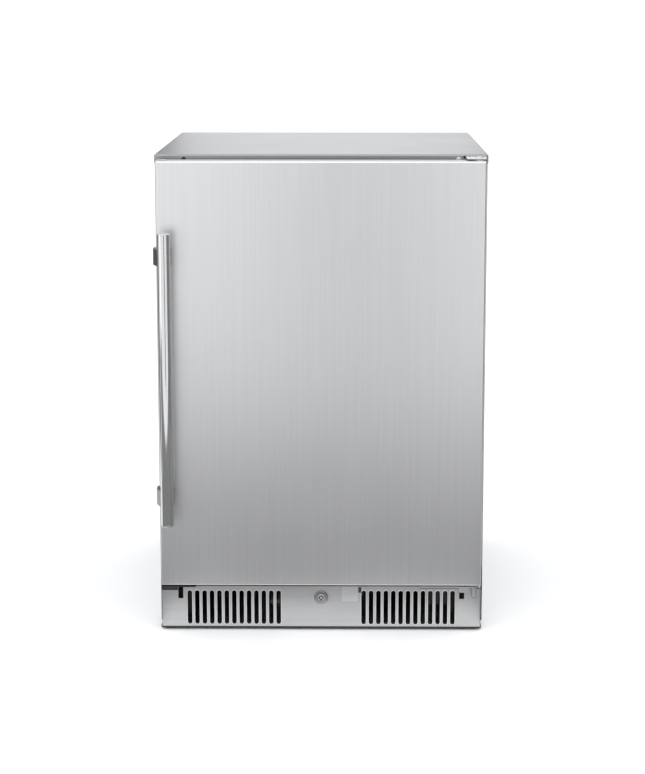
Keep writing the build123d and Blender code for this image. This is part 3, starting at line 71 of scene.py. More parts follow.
def grid_faces(rows, columns, wrap_rows, wrap_columns, first):
    """Quads of a grid of rows by columns, joined end to end where it wraps; numbering starts at first."""
    index = np.arange(rows * columns).reshape(rows, columns) + first
    if wrap_rows:
        index = np.vstack([index, index[:1]])
    if wrap_columns:
        index = np.hstack([index, index[:, :1]])
    corners = (index[:-1, :-1], index[1:, :-1], index[1:, 1:], index[:-1, 1:])
    return np.stack(corners, axis=-1).reshape(-1, 4)


def make_piece(name, grids, body, replaces, sharp=35.0):
    """One mesh of several grids, each (points, wrap_rows, wrap_columns). Doubles are merged, faces point out."""
    points = []
    quads = []
    count = 0
    for grid, wrap_rows, wrap_columns in grids:
        quads.append(grid_faces(grid.shape[0], grid.shape[1], wrap_rows, wrap_columns, count))
        points.append(grid.reshape(-1, 3))
        count += grid.shape[0] * grid.shape[1]
    mesh = bpy.data.meshes.new(name)
    mesh.from_pydata(np.concatenate(points).tolist(), [], np.concatenate(quads).tolist())
    work = bmesh.new()
    work.from_mesh(mesh)
    bmesh.ops.remove_doubles(work, verts=work.verts, dist=1e-6)
    bmesh.ops.recalc_face_normals(work, faces=work.faces)
    work.to_mesh(mesh)
    work.free()
    mesh.shade_smooth()
    mesh.set_sharp_from_angle(angle=math.radians(sharp))
    piece = bpy.data.objects.new(name, mesh)
    bpy.context.scene.collection.objects.link(piece)
    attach(piece, body)
    if replaces:
        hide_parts(*replaces)
    return piece


def turned(profile, centre, axis, steps=48):
    """Surface of revolution. Each profile point is (radius, height); a full turn of steps carries the point
    radius times cosine and sine round the axis, at its height along the axis."""
    profile = np.array(profile, float)
    turn = np.linspace(0, 2 * math.pi, steps, endpoint=False)
    radius = profile[:, 0][:, None]
    height = np.repeat(profile[:, 1][:, None], steps, axis=1)
    across = radius * np.cos(turn)[None, :]
    along = radius * np.sin(turn)[None, :]
    order = {"x": (height, across, along), "y": (along, height, across), "z": (across, along, height)}[axis]
    return np.stack(order, axis=-1) + np.array(centre, float), False, True


def tube(path, radius, closed=False, sides=12, up=(0, 0, 1)):
    """Round tube along a path. At each path point, a circle of the radius lies in the plane of two vectors:
    the side vector, which is tangent cross up, and the cross product of the side vector and the tangent."""
    path = np.array(path, float)
    if closed:
        tangent = np.roll(path, -1, axis=0) - np.roll(path, 1, axis=0)
    else:
        tangent = np.gradient(path, axis=0)
    tangent /= np.linalg.norm(tangent, axis=1, keepdims=True)
    side = np.cross(tangent, np.array(up, float))
    side /= np.linalg.norm(side, axis=1, keepdims=True)
    lift = np.cross(side, tangent)
    turn = np.linspace(0, 2 * math.pi, sides, endpoint=False)
    ring = np.cos(turn)[None, :, None] * side[:, None, :] + np.sin(turn)[None, :, None] * lift[:, None, :]
    points = path[:, None, :] + radius * ring
    if closed:
        return points, True, True
    ends = [np.repeat(path[i][None, None, :], sides, axis=1) for i in (0, -1)]
    return np.concatenate([ends[0], points, ends[1]]), False, True


def rounded_loop(half_x, half_y, corner, steps=8):
    """Closed loop round a rectangle with quarter-circle corners, as (x, y) pairs."""
    quarter = np.linspace(0, math.pi / 2, steps)
    parts = []
    for number, (sign_x, sign_y) in enumerate(((1, 1), (-1, 1), (-1, -1), (1, -1))):
        turn = quarter + number * math.pi / 2
        centre = np.array([sign_x * (half_x - corner), sign_y * (half_y - corner)])
        parts.append(centre + corner * np.stack([np.cos(turn), np.sin(turn)], axis=-1))
    return np.concatenate(parts)


# ---------------------------------------------------------------- shader maths

class Value:
    """A shader socket that can stand in a Python expression."""

    def __init__(self, finish, socket):
        self.finish = finish
        self.socket = socket

    def maths(self, operation, *others):
        return self.finish.node("ShaderNodeMath", {"operation": operation}, dict(enumerate((self, *others))))

    def __add__(self, other):
        return self.maths("ADD", other)

    __radd__ = __add__

    def __mul__(self, other):
        return self.maths("MULTIPLY", other)

    __rmul__ = __mul__

    def __sub__(self, other):
        return self.maths("SUBTRACT", other)

    def __rsub__(self, other):
        return self.finish.node("ShaderNodeMath", {"operation": "SUBTRACT"}, {0: other, 1: self})

    def __truediv__(self, other):
        return self.maths("DIVIDE", other)

    def __pow__(self, other):
        return self.maths("POWER", other)


class Finish:
    """A material with one Principled shader, built by expressions."""

    def __init__(self, name, roughness, metallic=0.0, **fixed):
        self.material = bpy.data.materials.new(name)
        self.material.use_nodes = True
        self.tree = self.material.node_tree
        self.shader = self.tree.nodes["Principled BSDF"]
        self.set(Roughness=roughness, Metallic=metallic, **fixed)

    def node(self, kind, settings=None, inputs=None, output=0):
        """Adds a node, gives it its settings, then the values or links of its sockets."""
        made = self.tree.nodes.new(kind)
        for key, value in (settings or {}).items():
            setattr(made, key, value)
        for key, value in (inputs or {}).items():
            self.feed(made.inputs[key], value)
        return Value(self, made.outputs[output])

    def feed(self, socket, value):
        if isinstance(value, Value):
            self.tree.links.new(value.socket, socket)
        else:
            socket.default_value = value

    def set(self, **sockets):
        for name, value in sockets.items():
            self.feed(self.shader.inputs[name.replace("_", " ")], value)

    def place(self, scale):
        """Object coordinates in metres times a scale for each axis."""
        at = self.node("ShaderNodeTexCoord", output="Object")
        return self.node("ShaderNodeVectorMath", {"operation": "MULTIPLY"}, {0: at, 1: scale})

    def noise(self, scale, detail=2.0, roughness=0.5):
        """Smooth noise from 0 to 1 whose grain is one over the scale, in metres, along each axis."""
        inputs = {"Vector": self.place(scale), "Scale": 1.0, "Detail": detail, "Roughness": roughness}
        return self.node("ShaderNodeTexNoise", {}, inputs)

    def along(self, axis):
        """Object coordinate along one axis, in metres."""
        at = self.node("ShaderNodeTexCoord", output="Object")
        return self.node("ShaderNodeSeparateXYZ", {}, {0: at}, "XYZ".index(axis))

    def mix(self, factor, first, second):
        return self.node("ShaderNodeMix", {"data_type": "RGBA"}, {0: factor, 6: first, 7: second}, 2)

    def bump(self, height, distance, strength=1.0):
        inputs = {"Height": height, "Distance": distance, "Strength": strength}
        self.set(Normal=self.node("ShaderNodeBump", {}, inputs))


def grey(level, alpha=1.0):
    return (level, level, level, alpha)


def give(material, *names):
    """Puts one finish on CAD nodes, as their only material."""
    for name in names:
        mesh = nodes[name].data
        mesh.materials.clear()
        mesh.materials.append(material)


# ---------------------------------------------------------------- settings

class StageSettings(bpy.types.PropertyGroup):
    floor_tone: bpy.props.FloatVectorProperty(
        name="Floor tone", description="Colour of the plain floor", subtype="COLOR", default=(0.94, 0.94,
                                                                                              0.94))
    world_strength: bpy.props.FloatProperty(
        name="World", description="Strength of the even light all round", default=1.3)
    key_power: bpy.props.FloatProperty(
        name="Key light", description="Power of the large light above the front", default=16.0, unit="POWER")
    card_distance: bpy.props.FloatProperty(
        name="Side cards", description="From the middle to each dark side card", default=1.4, unit="LENGTH")
    distance: bpy.props.FloatProperty(
        name="Camera distance",
        description="From the cabinet's front to the camera", default=3.2, unit="LENGTH")
    lens: bpy.props.FloatProperty(
        name="Lens", description="Focal length in millimetres", default=83.8)


class SteelSettings(bpy.types.PropertyGroup):
    door_tone: bpy.props.FloatProperty(
        name="Door tone",
        description="Reflectance of the door's brushed steel", default=0.70, subtype="FACTOR")
    grille_tone: bpy.props.FloatProperty(
        name="Grille tone", description="Reflectance of the toe grille", default=0.54, subtype="FACTOR")
    cabinet_tone: bpy.props.FloatProperty(
        name="Cabinet tone",
        description="Reflectance of the cabinet's sheets", default=0.56, subtype="FACTOR")
    roughness: bpy.props.FloatProperty(
        name="Brushing",
        description="How far the brushing blurs a reflection", default=0.36, subtype="FACTOR")


class HandleSettings(bpy.types.PropertyGroup):
    chamfer: bpy.props.FloatProperty(
        name="End chamfer", description="Cut at each end of the bar", default=1.2 * MM, unit="LENGTH")
    tone: bpy.props.FloatProperty(
        name="Handle tone", description="Reflectance of the polished bar", default=0.62, subtype="FACTOR")


class ShelfSettings(bpy.types.PropertyGroup):
    rod: bpy.props.FloatProperty(
        name="Frame rod", description="Radius of the shelf's frame rod", default=3.0 * MM, unit="LENGTH")
    wire: bpy.props.FloatProperty(
        name="Wire", description="Radius of the wires", default=1.5 * MM, unit="LENGTH")
    pitch: bpy.props.FloatProperty(
        name="Wire pitch", description="Distance between wires", default=22.0 * MM, unit="LENGTH")
    corner: bpy.props.FloatProperty(
        name="Corner", description="Radius of the frame rod at its corners", default=14.0 * MM, unit="LENGTH")


# ---------------------------------------------------------------- finishes

GRAIN = {
    "z": ((900, 900, 5.5), (260, 260, 2.4), (55, 55, 0.9)),
    "x": ((8, 900, 900), (3, 260, 260), (1.2, 55, 55)),
    "y": ((900, 8, 900), (260, 3, 260), (55, 1.2, 55)),
}


def brushed_steel(name, tone, roughness, grain, contrast=1.0, painted_shade_where=None, painted_highlight_where=None):
    """Brushed stainless: fine, middle and broad streaks, each a noise drawn out along the grain, are added
    and change the tone and the roughness a little. The fine streaks also raise the surface by microns.
    Where the shade mask gives 1, the steel is a painted shade, near black and not metal.
    Where the highlight mask gives 1, the steel is a painted highlight, brighter."""
    steel = Finish(name, roughness, 1.0)
    fine, middle, broad = (steel.noise(scale, 2.0, 0.6) for scale in GRAIN[grain])
    streaks = (fine - 0.5) * 0.55 + (middle - 0.5) * 0.30 + (broad - 0.5) * 0.05
    colour = steel.mix(streaks * contrast + 0.5, grey(tone * 0.74), grey(min(tone * 1.22, 0.98)))
    # Painted highlight: the masked places are painted brighter.
    if painted_highlight_where:
        colour = steel.mix(painted_highlight_where(steel), colour, grey(min(tone * 1.55, 0.95)))
    # Painted shade: the masked faces are painted near black and lose their metal.
    if painted_shade_where:
        painted_shade = painted_shade_where(steel)
        colour = steel.mix(painted_shade, colour, grey(0.015))
        steel.set(Metallic=1 - painted_shade)
    steel.set(Base_Color=colour)
    smudge = steel.noise((7, 7, 7), 3.0)
    steel.set(Roughness=(fine - 0.5) * 0.10 + (smudge - 0.5) * 0.06 + roughness)
    steel.bump(fine, 0.00002, 0.5)
    return steel.material


def inner_faces(steel):
    """1 on the faces of the side sheets that look into the cabinet, and on the front frame's legs behind the
    grille. 0 on the outer faces and on the frame round the door opening. Where it gives 1, the steel is
    painted near black as painted shade."""
    outside = span("side_panels")[1][0]
    frame_back = span("front_frame")[1][1]
    inward = steel.along("X").maths("ABSOLUTE").maths("LESS_THAN", float(outside - 0.4 * MM))
    deep = steel.along("Y").maths("GREATER_THAN", float(frame_back + 0.1 * MM))
    low = steel.along("Z").maths("LESS_THAN", float(span("toe_grille")[1][2]))
    return inward * deep.maths("MAXIMUM", low)


def slot_rims(steel):
    """1 on the pressed rims, which stand proud of the grille's flat face. Where it gives 1, the steel is painted
    brighter as a painted highlight.
    """
    return steel.along("Y").maths("LESS_THAN", float(span("toe_grille")[0][1] + 0.35 * MM))


def polished_steel(name, tone, roughness=0.12):
    """Polished stainless with faint hairlines round it and slight hand marks."""
    steel = Finish(name, roughness, 1.0)
    lines = steel.noise((60, 60, 1400), 2.0)
    marks = steel.noise((28, 28, 16), 3.0)
    steel.set(Base_Color=steel.mix(lines, grey(tone * 0.92), grey(tone * 1.06)))
    steel.set(Roughness=(marks - 0.5) * 0.08 + (lines - 0.5) * 0.05 + roughness)
    steel.bump(lines, 0.00001, 0.3)
    return steel.material


def plain_metal(name, colour, roughness, spangle=0.0):
    """Plated, cast or galvanised metal: a cell pattern or cloudy noise shifts tone and roughness."""
    metal = Finish(name, roughness, 1.0)
    clouds = metal.noise((45, 45, 45), 3.0, 0.5)
    dark = (*[c * 0.88 for c in colour], 1.0)
    light = (*[min(c * 1.08, 1.0) for c in colour], 1.0)
    if spangle:
        inputs = {"Vector": metal.place((110, 110, 110)), "Scale": 1.0}
        cells = metal.node("ShaderNodeTexVoronoi", {}, inputs, "Color")
        flakes = metal.node("ShaderNodeSeparateColor", {}, {0: cells})
        clouds = clouds * (1 - spangle) + flakes * spangle
    metal.set(Base_Color=metal.mix(clouds, dark, light), Roughness=(clouds - 0.5) * 0.25 + roughness)
    metal.bump(clouds, 0.00008, 0.3)
    return metal.material


def bracket_steel(name):
    """Zinc-plated hinge steel whose leg behind the grille and under the plate is painted near black as painted
    shade.
    """
    steel = Finish(name, 0.28)
    grille = span("toe_grille")[0][1]
    plate_low = span("bottom_hinge_bracket")[1][2] - 3.2 * MM
    behind = steel.along("Y").maths("GREATER_THAN", float(grille + 1.4 * MM))
    under = steel.along("Z").maths("LESS_THAN", float(plate_low))
    # Painted shade: where the leg lies behind the grille and under the plate, it is painted near black and not
    # metal.
    coat = behind * under
    clouds = steel.noise((45, 45, 45), 3.0)
    plated = steel.mix(clouds, grey(0.60), grey(0.74))
    steel.set(Base_Color=steel.mix(coat, plated, grey(0.012)))
    steel.set(Metallic=1 - coat, Roughness=coat * 0.25 + clouds * 0.1 + 0.24)
    steel.bump(clouds, 0.00008, 0.3)
    return steel.material


def key_face(name):
    """Turned lock plug: a ring round the pin of the keyway, with a slot below it, painted near black as painted
    shade.
    """
    plug = Finish(name, 0.24, 1.0)
    middle = span("lock_plug")[2]
    across = plug.along("X") - float(middle[0])
    upward = plug.along("Z") - float(middle[2])
    radius = (across * across + upward * upward) ** 0.5
    ring = radius.maths("GREATER_THAN", 2.2 * MM) * radius.maths("LESS_THAN", 3.9 * MM)
    narrow = across.maths("ABSOLUTE").maths("LESS_THAN", 0.9 * MM)
    slot = narrow * upward.maths("LESS_THAN", 0.0) * radius.maths("GREATER_THAN", 2.2 * MM)
    keyway = ring.maths("MAXIMUM", slot)
    turning = (radius * 9000.0).maths("SINE") * 0.5 + 0.5
    face = plug.mix(turning, grey(0.50), grey(0.62))
    # Painted shade: the keyway's ring and slot are painted near black instead of being cut into the plug.
    plug.set(Base_Color=plug.mix(keyway, face, grey(0.02)), Roughness=keyway * 0.4 + turning * 0.06 + 0.2)
    plug.bump(turning * (1 - keyway) - keyway * 4.0, 0.0002, 0.4)
    return plug.material


def paint(name, colour, roughness=0.42, peel=0.0002):
    """Sprayed coat: orange peel from fine noise, with a cloudy roughness and a clear coat."""
    coat = Finish(name, roughness, 0.0, Coat_Weight=0.25)
    peel_noise = coat.noise((420, 420, 420), 2.0)
    clouds = coat.noise((24, 24, 24), 3.0)
    dark = (*[c * 0.85 for c in colour], 1.0)
    coat.set(Base_Color=coat.mix(clouds, dark, (*colour, 1.0)), Roughness=(clouds - 0.5) * 0.15 + roughness)
    coat.bump(peel_noise, peel, 0.25)
    return coat.material


def plastic(name, colour, roughness=0.42, grain=0.00012):
    """Moulded plastic: a fine spark-eroded grain in the bump, and clouds in tone and roughness."""
    mould = Finish(name, roughness)
    pits = mould.noise((1500, 1500, 1500), 2.0)
    clouds = mould.noise((18, 18, 18), 3.0)
    dark = (*[c * 0.93 for c in colour], 1.0)
    mould.set(Base_Color=mould.mix(clouds, dark, (*colour, 1.0)))
    mould.set(Roughness=(clouds - 0.5) * 0.12 + (pits - 0.5) * 0.1 + roughness)
    mould.bump(pits, grain, 0.25)
    return mould.material


def rubber(name, level):
    """Soft vinyl or rubber: dull, with a faint bloom of lighter dust."""
    skin = Finish(name, 0.62)
    bloom = skin.noise((60, 60, 60), 4.0, 0.6)
    skin.set(Base_Color=skin.mix(bloom, grey(level * 0.85), grey(level * 1.3)))
    skin.set(Roughness=(bloom - 0.5) * 0.2 + 0.62)
    skin.bump(skin.noise((900, 900, 900)), 0.0001, 0.3)
    return skin.material


def foam(name):
    """Cut rigid foam: cells from a fine cell pattern, in a warm cream."""
    cut = Finish(name, 0.9)
    inputs = {"Vector": cut.place((700, 700, 700)), "Scale": 1.0}
    cells = cut.node("ShaderNodeTexVoronoi", {}, inputs)
    cut.set(Base_Color=cut.mix(cells, (0.62, 0.52, 0.30, 1), (0.85, 0.76, 0.52, 1)))
    cut.bump(cells, 0.0005, 0.5)
    return cut.material


def display_glass(name):
    """Black glass over lit figures: rows of soft blue-white segments made by waves of the object's place."""
    glass = Finish(name, 0.08)
    middle = span("control_display")[2]
    across = (glass.along("X") - float(middle[0])) / 0.012
    upward = (glass.along("Z") - float(middle[2])) / 0.0035
    bars = (1 - across.maths("ABSOLUTE")).maths("GREATER_THAN", 0.0)
    figure = (1 - upward.maths("ABSOLUTE")).maths("GREATER_THAN", 0.0)
    strokes = (across * 9.0).maths("SINE").maths("GREATER_THAN", 0.35)
    lit = bars * figure * strokes
    glass.set(Base_Color=grey(0.01))
    glass.set(Emission_Color=glass.mix(lit, grey(0.0), (0.35, 0.75, 1.0, 1)), Emission_Strength=1.5)
    return glass.material


def lamp_lens(name):
    """Frosted lens that glows softly, brighter over its rows of diodes."""
    lens = Finish(name, 0.5)
    dots = (lens.along("X") * 420.0).maths("SINE") * 0.5 + 0.5
    lens.set(Base_Color=grey(0.9), Emission_Color=lens.mix(dots, grey(0.75), grey(1.0)),
             Emission_Strength=1.2)
    return lens.material


# ---------------------------------------------------------------- stage

FLOOR_REACH = 14.0
AIM_HEIGHT = 0.45


class FRIDGE_OT_stage(bpy.types.Operator):
    """Floor, soft lights and the camera."""
    bl_idname = "fridge.stage"
    bl_label = "Stage"

    def execute(self, context):
        settings = context.scene.fridge_stage
        reach = FLOOR_REACH
        mesh = bpy.data.meshes.new("floor")
        corners = [(-reach, -reach, 0), (reach, -reach, 0), (reach, reach, 0), (-reach, reach, 0)]
        mesh.from_pydata(corners, [], [(0, 1, 2, 3)])
        floor = bpy.data.objects.new("floor", mesh)
        context.scene.collection.objects.link(floor)
        surface = Finish("floor_paint", 0.7)
        clouds = surface.noise((0.7, 0.7, 0.7), 2.0)
        tone = np.array(settings.floor_tone)
        surface.set(Base_Color=surface.mix(clouds, (*(tone * 0.985), 1.0), (*tone, 1.0)))
        mesh.materials.append(surface.material)

        world = bpy.data.worlds.new("studio")
        context.scene.world = world
        world.use_nodes = True
        background = world.node_tree.nodes["Background"]
        background.inputs["Color"].default_value = (0.97, 0.98, 1.0, 1.0)
        background.inputs["Strength"].default_value = settings.world_strength

        front = span("door_skin")[0][1]
        # Each light is a name, a place, a size and its share of the key light's power.
        lights = (
            ("key", (0.0, front - 1.5, 2.6), (3.2, 1.4), 1.0),
            ("left_strip", (-2.3, front - 1.2, 1.0), (0.5, 1.8), 0.20),
            ("right_strip", (2.3, front - 1.2, 1.0), (0.5, 1.8), 0.20),
            ("back", (0.0, 2.2, 2.4), (3.0, 1.2), 0.15),
        )
        for name, place, (width, height), share in lights:
            lamp = bpy.data.lights.new(name, "AREA")
            lamp.shape = "RECTANGLE"
            lamp.size = width
            lamp.size_y = height
            lamp.energy = settings.key_power * share
            holder = bpy.data.objects.new(name, lamp)
            holder.location = place
            aim = np.array([0.0, 0.0, AIM_HEIGHT]) - np.array(place)
            holder.rotation_euler = (
                math.atan2(math.hypot(aim[0], aim[1]), -aim[2]), 0.0, math.atan2(aim[0], -aim[1]) + math.pi)
            context.scene.collection.objects.link(holder)

        # Dark cards that only reflections see. Each is a name, a tone, a corner and two sides.
        side = settings.card_distance
        cards = (
            ("card_floor", 0.22, (-3.0, front - 1.5, 0.003), (6.0, 0, 0), (0, 1.35, 0)),
            ("card_left", 0.22, (-side, front + 0.1, 0.0), (0, 3.2, 0), (0, 0, 1.5)),
            ("card_right", 0.22, (side, front - 1.25, 0.0), (0, 3.6, 0), (0, 0, 1.5)),
            ("card_stripe", 0.03, (-0.08, front - 2.2, 0.0), (0.34, 0.06, 0), (0, 0, 1.2)),
            ("card_back_left", 0.30, (-3.4, 3.4, 0.4), (2.8, 0, 0), (0, 0, 3.0)),
            ("card_back_right", 0.30, (0.6, 3.4, 0.4), (2.8, 0, 0), (0, 0, 3.0)),
            ("card_near_left", 0.08, (-1.4, front - 0.16, 0.003), (1.10, 0, 0), (0, 0.15, 0)),
            ("card_near_right", 0.08, (0.30, front - 0.16, 0.003), (1.10, 0, 0), (0, 0.15, 0)),
        )
        for name, level, corner, width, height in cards:
            paint_coat = Finish(f"{name}_paint", 0.9, Specular_IOR_Level=0.0)
            weave = paint_coat.noise((2, 2, 2))
            paint_coat.set(Base_Color=paint_coat.mix(weave, grey(level * 0.9), grey(level * 1.1)))
            corner, width, height = (np.array(v, float) for v in (corner, width, height))
            mesh = bpy.data.meshes.new(name)
            outline = [corner, corner + width, corner + width + height, corner + height]
            mesh.from_pydata([tuple(point) for point in outline], [], [(0, 1, 2, 3)])
            mesh.materials.append(paint_coat.material)
            card = bpy.data.objects.new(name, mesh)
            card.visible_camera = False
            card.visible_diffuse = False
            card.visible_shadow = False
            context.scene.collection.objects.link(card)

        camera = bpy.data.cameras.new("camera")
        camera.lens = settings.lens
        camera.sensor_width = 36.0
        camera.shift_x = -0.011
        camera.shift_y = -0.1163
        holder = bpy.data.objects.new("camera", camera)
        cabinet_front = span("front_frame")[0][1]
        holder.location = (0.045, cabinet_front - settings.distance, 1.134)
        holder.rotation_euler = (math.radians(90.0 - 9.3), 0.0, math.radians(0.49))
        context.scene.collection.objects.link(holder)
        context.scene.camera = holder
        context.scene.view_settings.view_transform = "Standard"
        return {"FINISHED"}


# ---------------------------------------------------------------- finishes on the CAD pieces

class FRIDGE_OT_sheets(bpy.types.Operator):
    """Brushed and plain finishes on every sheet, casting and moulding."""
    bl_idname = "fridge.sheets"
    bl_label = "Sheet metal and mouldings"

    def execute(self, context):
        steel = context.scene.fridge_steel
        give(brushed_steel("door_brushed", steel.door_tone, steel.roughness, "z", 0.45), "door_skin")
        # The top sheet is the sides' steel; its tone is cut to 0.54 of theirs as painted shade.
        give(brushed_steel("top_brushed", steel.cabinet_tone * 0.54, 0.30, "x", 0.6), "top_panel")
        # The side sheets' inner faces and the frame's legs behind the grille are painted near black as painted
        # shade.
        give(brushed_steel("side_brushed", steel.cabinet_tone, 0.38, "z", 0.8, painted_shade_where=inner_faces),
             "side_panels", "front_frame")
        # The grille's proud rims are painted brighter as a painted highlight.
        give(brushed_steel("grille_brushed", steel.grille_tone, 0.34, "x", 0.8, painted_highlight_where=slot_rims), "toe_grille")
        give(brushed_steel("plate_brushed", steel.grille_tone * 1.3, 0.30, "x", 0.7), "name_plate_blank")
        give(plain_metal("galvanised", (0.60, 0.62, 0.64), 0.42, 0.7),
             "rear_panel", "rear_service_cover", "machine_bulkhead")
        give(plain_metal("zinc_plate", (0.66, 0.68, 0.70), 0.28),
             "lock_mount", "handle_screws",
             "top_hinge_bracket", "lock_cam", "foot_front_left", "foot_front_right",
             "foot_rear_left", "foot_rear_right")
        give(bracket_steel("bracket_coat"), "bottom_hinge_bracket", "cabinet_screws", "hinge_pins")
        give(paint("base_black", (0.016, 0.016, 0.017)), "base_pan", "compressor")
        give(foam("cut_foam"), "cabinet_foam", "door_foam")
        give(plastic("cabinet_white", (0.70, 0.72, 0.73), 0.34),
             "inner_liner", "door_liner", "evaporator_cover", "control_housing")
        give(plastic("moulded_black", (0.02, 0.02, 0.021), 0.45),
             "door_sensor", "hinge_blank_left", "frame_plug", "compressor_cover", "condenser_fan_shroud",
             "condenser_fan_motor", "evaporator_fan_motor", "power_inlet", "condensate_drain")
        give(plastic("moulded_grey", (0.46, 0.47, 0.48), 0.38),
             "door_cap_top", "door_cap_bottom", "door_hole_plugs", "door_bushings")
        give(rubber("mount_rubber", 0.03), "compressor_mounts")
        give(plain_metal("copper", (0.80, 0.45, 0.30), 0.30), "refrigerant_lines")
        give(plain_metal("fin_aluminium", (0.80, 0.81, 0.83), 0.34), "condenser", "evaporator")
        give(polished_steel("lock_polish", 0.38, 0.2), "lock_body")
        give(key_face("key_face"), "lock_plug")
        give(polished_steel("bracket_polish", 0.16, 0.22), "handle_brackets")
        give(display_glass("display"), "control_display")
        give(plastic("key_black", (0.03, 0.03, 0.032), 0.35), "button_power", "button_up", "button_down")
        give(lamp_lens("lamp"), "led_lamp")
        return {"FINISHED"}


# ---------------------------------------------------------------- handle

class FRIDGE_OT_handle(bpy.types.Operator):
    """Polished round bar with chamfered ends."""
    bl_idname = "fridge.handle"
    bl_label = "Handle bar"

    def execute(self, context):
        settings = context.scene.fridge_handle
        low, high, middle = span("handle_bar")
        radius = (high[0] - low[0]) / 2
        cut = settings.chamfer
        seam = low[2] + 3 * MM
        profile = [(0, low[2]), (radius - cut - 1e-4, low[2]), (radius - cut, low[2]), (radius, low[2] + cut)]
        for joint in (seam, high[2] - 3 * MM):
            profile += [(radius, joint - 0.25 * MM), (radius - 0.2 * MM, joint), (radius, joint + 0.25 * MM)]
        profile += [(radius, high[2] - cut), (radius - cut, high[2])]
        profile += [(radius - cut - 1e-4, high[2]), (0, high[2])]
        bar = make_piece("handle_bar_turned", [turned(profile, (middle[0], middle[1], 0), "z", 72)],
                         "door", ["handle_bar"], 25.0)
        bar.data.materials.append(polished_steel("bar_polish", settings.tone, 0.07))
        return {"FINISHED"}


# ---------------------------------------------------------------- gasket

class FRIDGE_OT_gasket(bpy.types.Operator):
    """Magnetic seal with a hollow bellows section."""
    bl_idname = "fridge.gasket"
    bl_label = "Door gasket"

    def execute(self, context):
        low, high, middle = span("door_gasket")
        width = 16 * MM
        depth = high[1] - low[1]
        loop = rounded_loop((high[0] - low[0] - width) / 2, (high[2] - low[2] - width) / 2, 9 * MM, 7)
        step = np.roll(loop, -1, axis=0) - np.roll(loop, 1, axis=0)
        step /= np.linalg.norm(step, axis=1, keepdims=True)
        outward = np.stack([step[:, 1], -step[:, 0]], axis=-1)
        # Section: a flattened oval, pinched at each side where the bellows folds, with a shallow face groove.
        turn = np.linspace(0, 2 * math.pi, 40, endpoint=False)
        pinch = 1 - 0.22 * np.exp(-((np.sin(turn) - 0.1) / 0.16) ** 2)
        across = width / 2 * np.sign(np.cos(turn)) * np.abs(np.cos(turn)) ** 0.5 * pinch
        groove = 0.10 * np.exp(-(np.cos(turn) / 0.25) ** 2) * (np.sin(turn) > 0)
        deep = depth / 2 * np.sign(np.sin(turn)) * np.abs(np.sin(turn)) ** 0.5 * (1 - groove)
        plan = loop[:, None, :] + across[None, :, None] * outward[:, None, :]
        points = np.stack([
            plan[:, :, 0] + middle[0],
            np.repeat(deep[None, :], len(loop), axis=0) + middle[1],
            plan[:, :, 1] + middle[2]], axis=-1)
        seal = make_piece("door_gasket_seal", [(points, True, True)], "door", ["door_gasket"])
        seal.data.materials.append(rubber("seal_vinyl", 0.30))
        return {"FINISHED"}


# ---------------------------------------------------------------- shelves

class FRIDGE_OT_shelves(bpy.types.Operator):
    """Chrome wire shelves: rounded frame, wires from front to back, two rods under them."""
    bl_idname = "fridge.shelves"
    bl_label = "Wire shelves"

    def execute(self, context):
        settings = context.scene.fridge_shelves
        chrome = polished_steel("shelf_chrome", 0.72, 0.10)
        for name in ("shelf_lower", "shelf_middle", "shelf_upper"):
            low, high, middle = span(name)
            rod, wire = settings.rod, settings.wire
            frame_z = low[2] + rod
            half = (high[:2] - low[:2]) / 2 - rod
            loop = rounded_loop(half[0], half[1], settings.corner, 9) + middle[:2]
            outline = np.column_stack([loop, np.full(len(loop), frame_z)])
            grids = [tube(outline, rod, True, 14)]
            count = int((2 * (half[0] + rod) - 2 * settings.pitch) / settings.pitch)
            wire_z = frame_z + rod - wire / 2
            inside = half[1] + rod * 0.3
            for number in range(count):
                x = middle[0] + (number - (count - 1) / 2) * settings.pitch
                ends = ((x, middle[1] - inside, wire_z), (x, middle[1] + inside, wire_z))
                grids.append(tube(ends, wire, sides=8))
            for share in (1 / 3, 2 / 3):
                y = middle[1] - half[1] + share * 2 * half[1]
                ends = ((middle[0] - half[0], y, frame_z), (middle[0] + half[0], y, frame_z))
                grids.append(tube(ends, rod * 0.8, sides=10))
            piece = make_piece(f"{name}_wires", grids, name, [name], 50.0)
            piece.data.materials.append(chrome)
        return {"FINISHED"}


# ---------------------------------------------------------------- fans

def fan_grids(centre, axis, hub, tip, depth, blades):
    """Hub and blades. A blade point at radius r and chord share u stands at the blade's own angle plus a
    sweep that grows with r, and at a height that falls along the chord with a sine camber."""
    radius = np.linspace(hub * 0.96, tip, 14)[:, None]
    chord = np.linspace(0, 1, 11)[None, :]
    share = np.clip((radius - hub) / (tip - hub), 0, 1)
    width = (0.78 - 0.12 * share) * 2 * math.pi / blades
    height = depth * (0.5 - chord) * (0.86 - 0.24 * share) + depth * 0.10 * np.sin(math.pi * chord)
    grids = []
    thick = np.array([0.5, -0.5]) * 1.6 * MM
    for number in range(blades):
        angle = number * 2 * math.pi / blades + width * (chord - 0.5) + 0.35 * share ** 1.5
        faces = []
        for lift in thick:
            flat = (radius * np.cos(angle), radius * np.sin(angle), height + lift)
            faces.append(np.stack(flat, axis=-1))
        top, bottom = faces
        around = np.concatenate([top, bottom[:, ::-1]], axis=1)
        closed = np.concatenate([np.repeat(around[:1].mean(axis=1, keepdims=True), around.shape[1], axis=1),
                                 around,
                                 np.repeat(around[-1:].mean(axis=1, keepdims=True), around.shape[1], axis=1)])
        grids.append((closed, False, True))
    cap = depth / 2
    profile = [(0, cap), (hub * 0.7, cap), (hub * 0.93, cap - 0.8 * MM), (hub, cap - 3 * MM), (hub, -cap),
               (hub - 2 * MM, -cap), (hub - 2 * MM, cap - 4 * MM), (0, cap - 4 * MM)]
    grids.append(turned(profile, (0, 0, 0), "z", 40))
    order = {"x": (2, 0, 1), "y": (0, 2, 1)}[axis]
    return [(points[..., order] + np.array(centre), rows, columns) for points, rows, columns in grids]


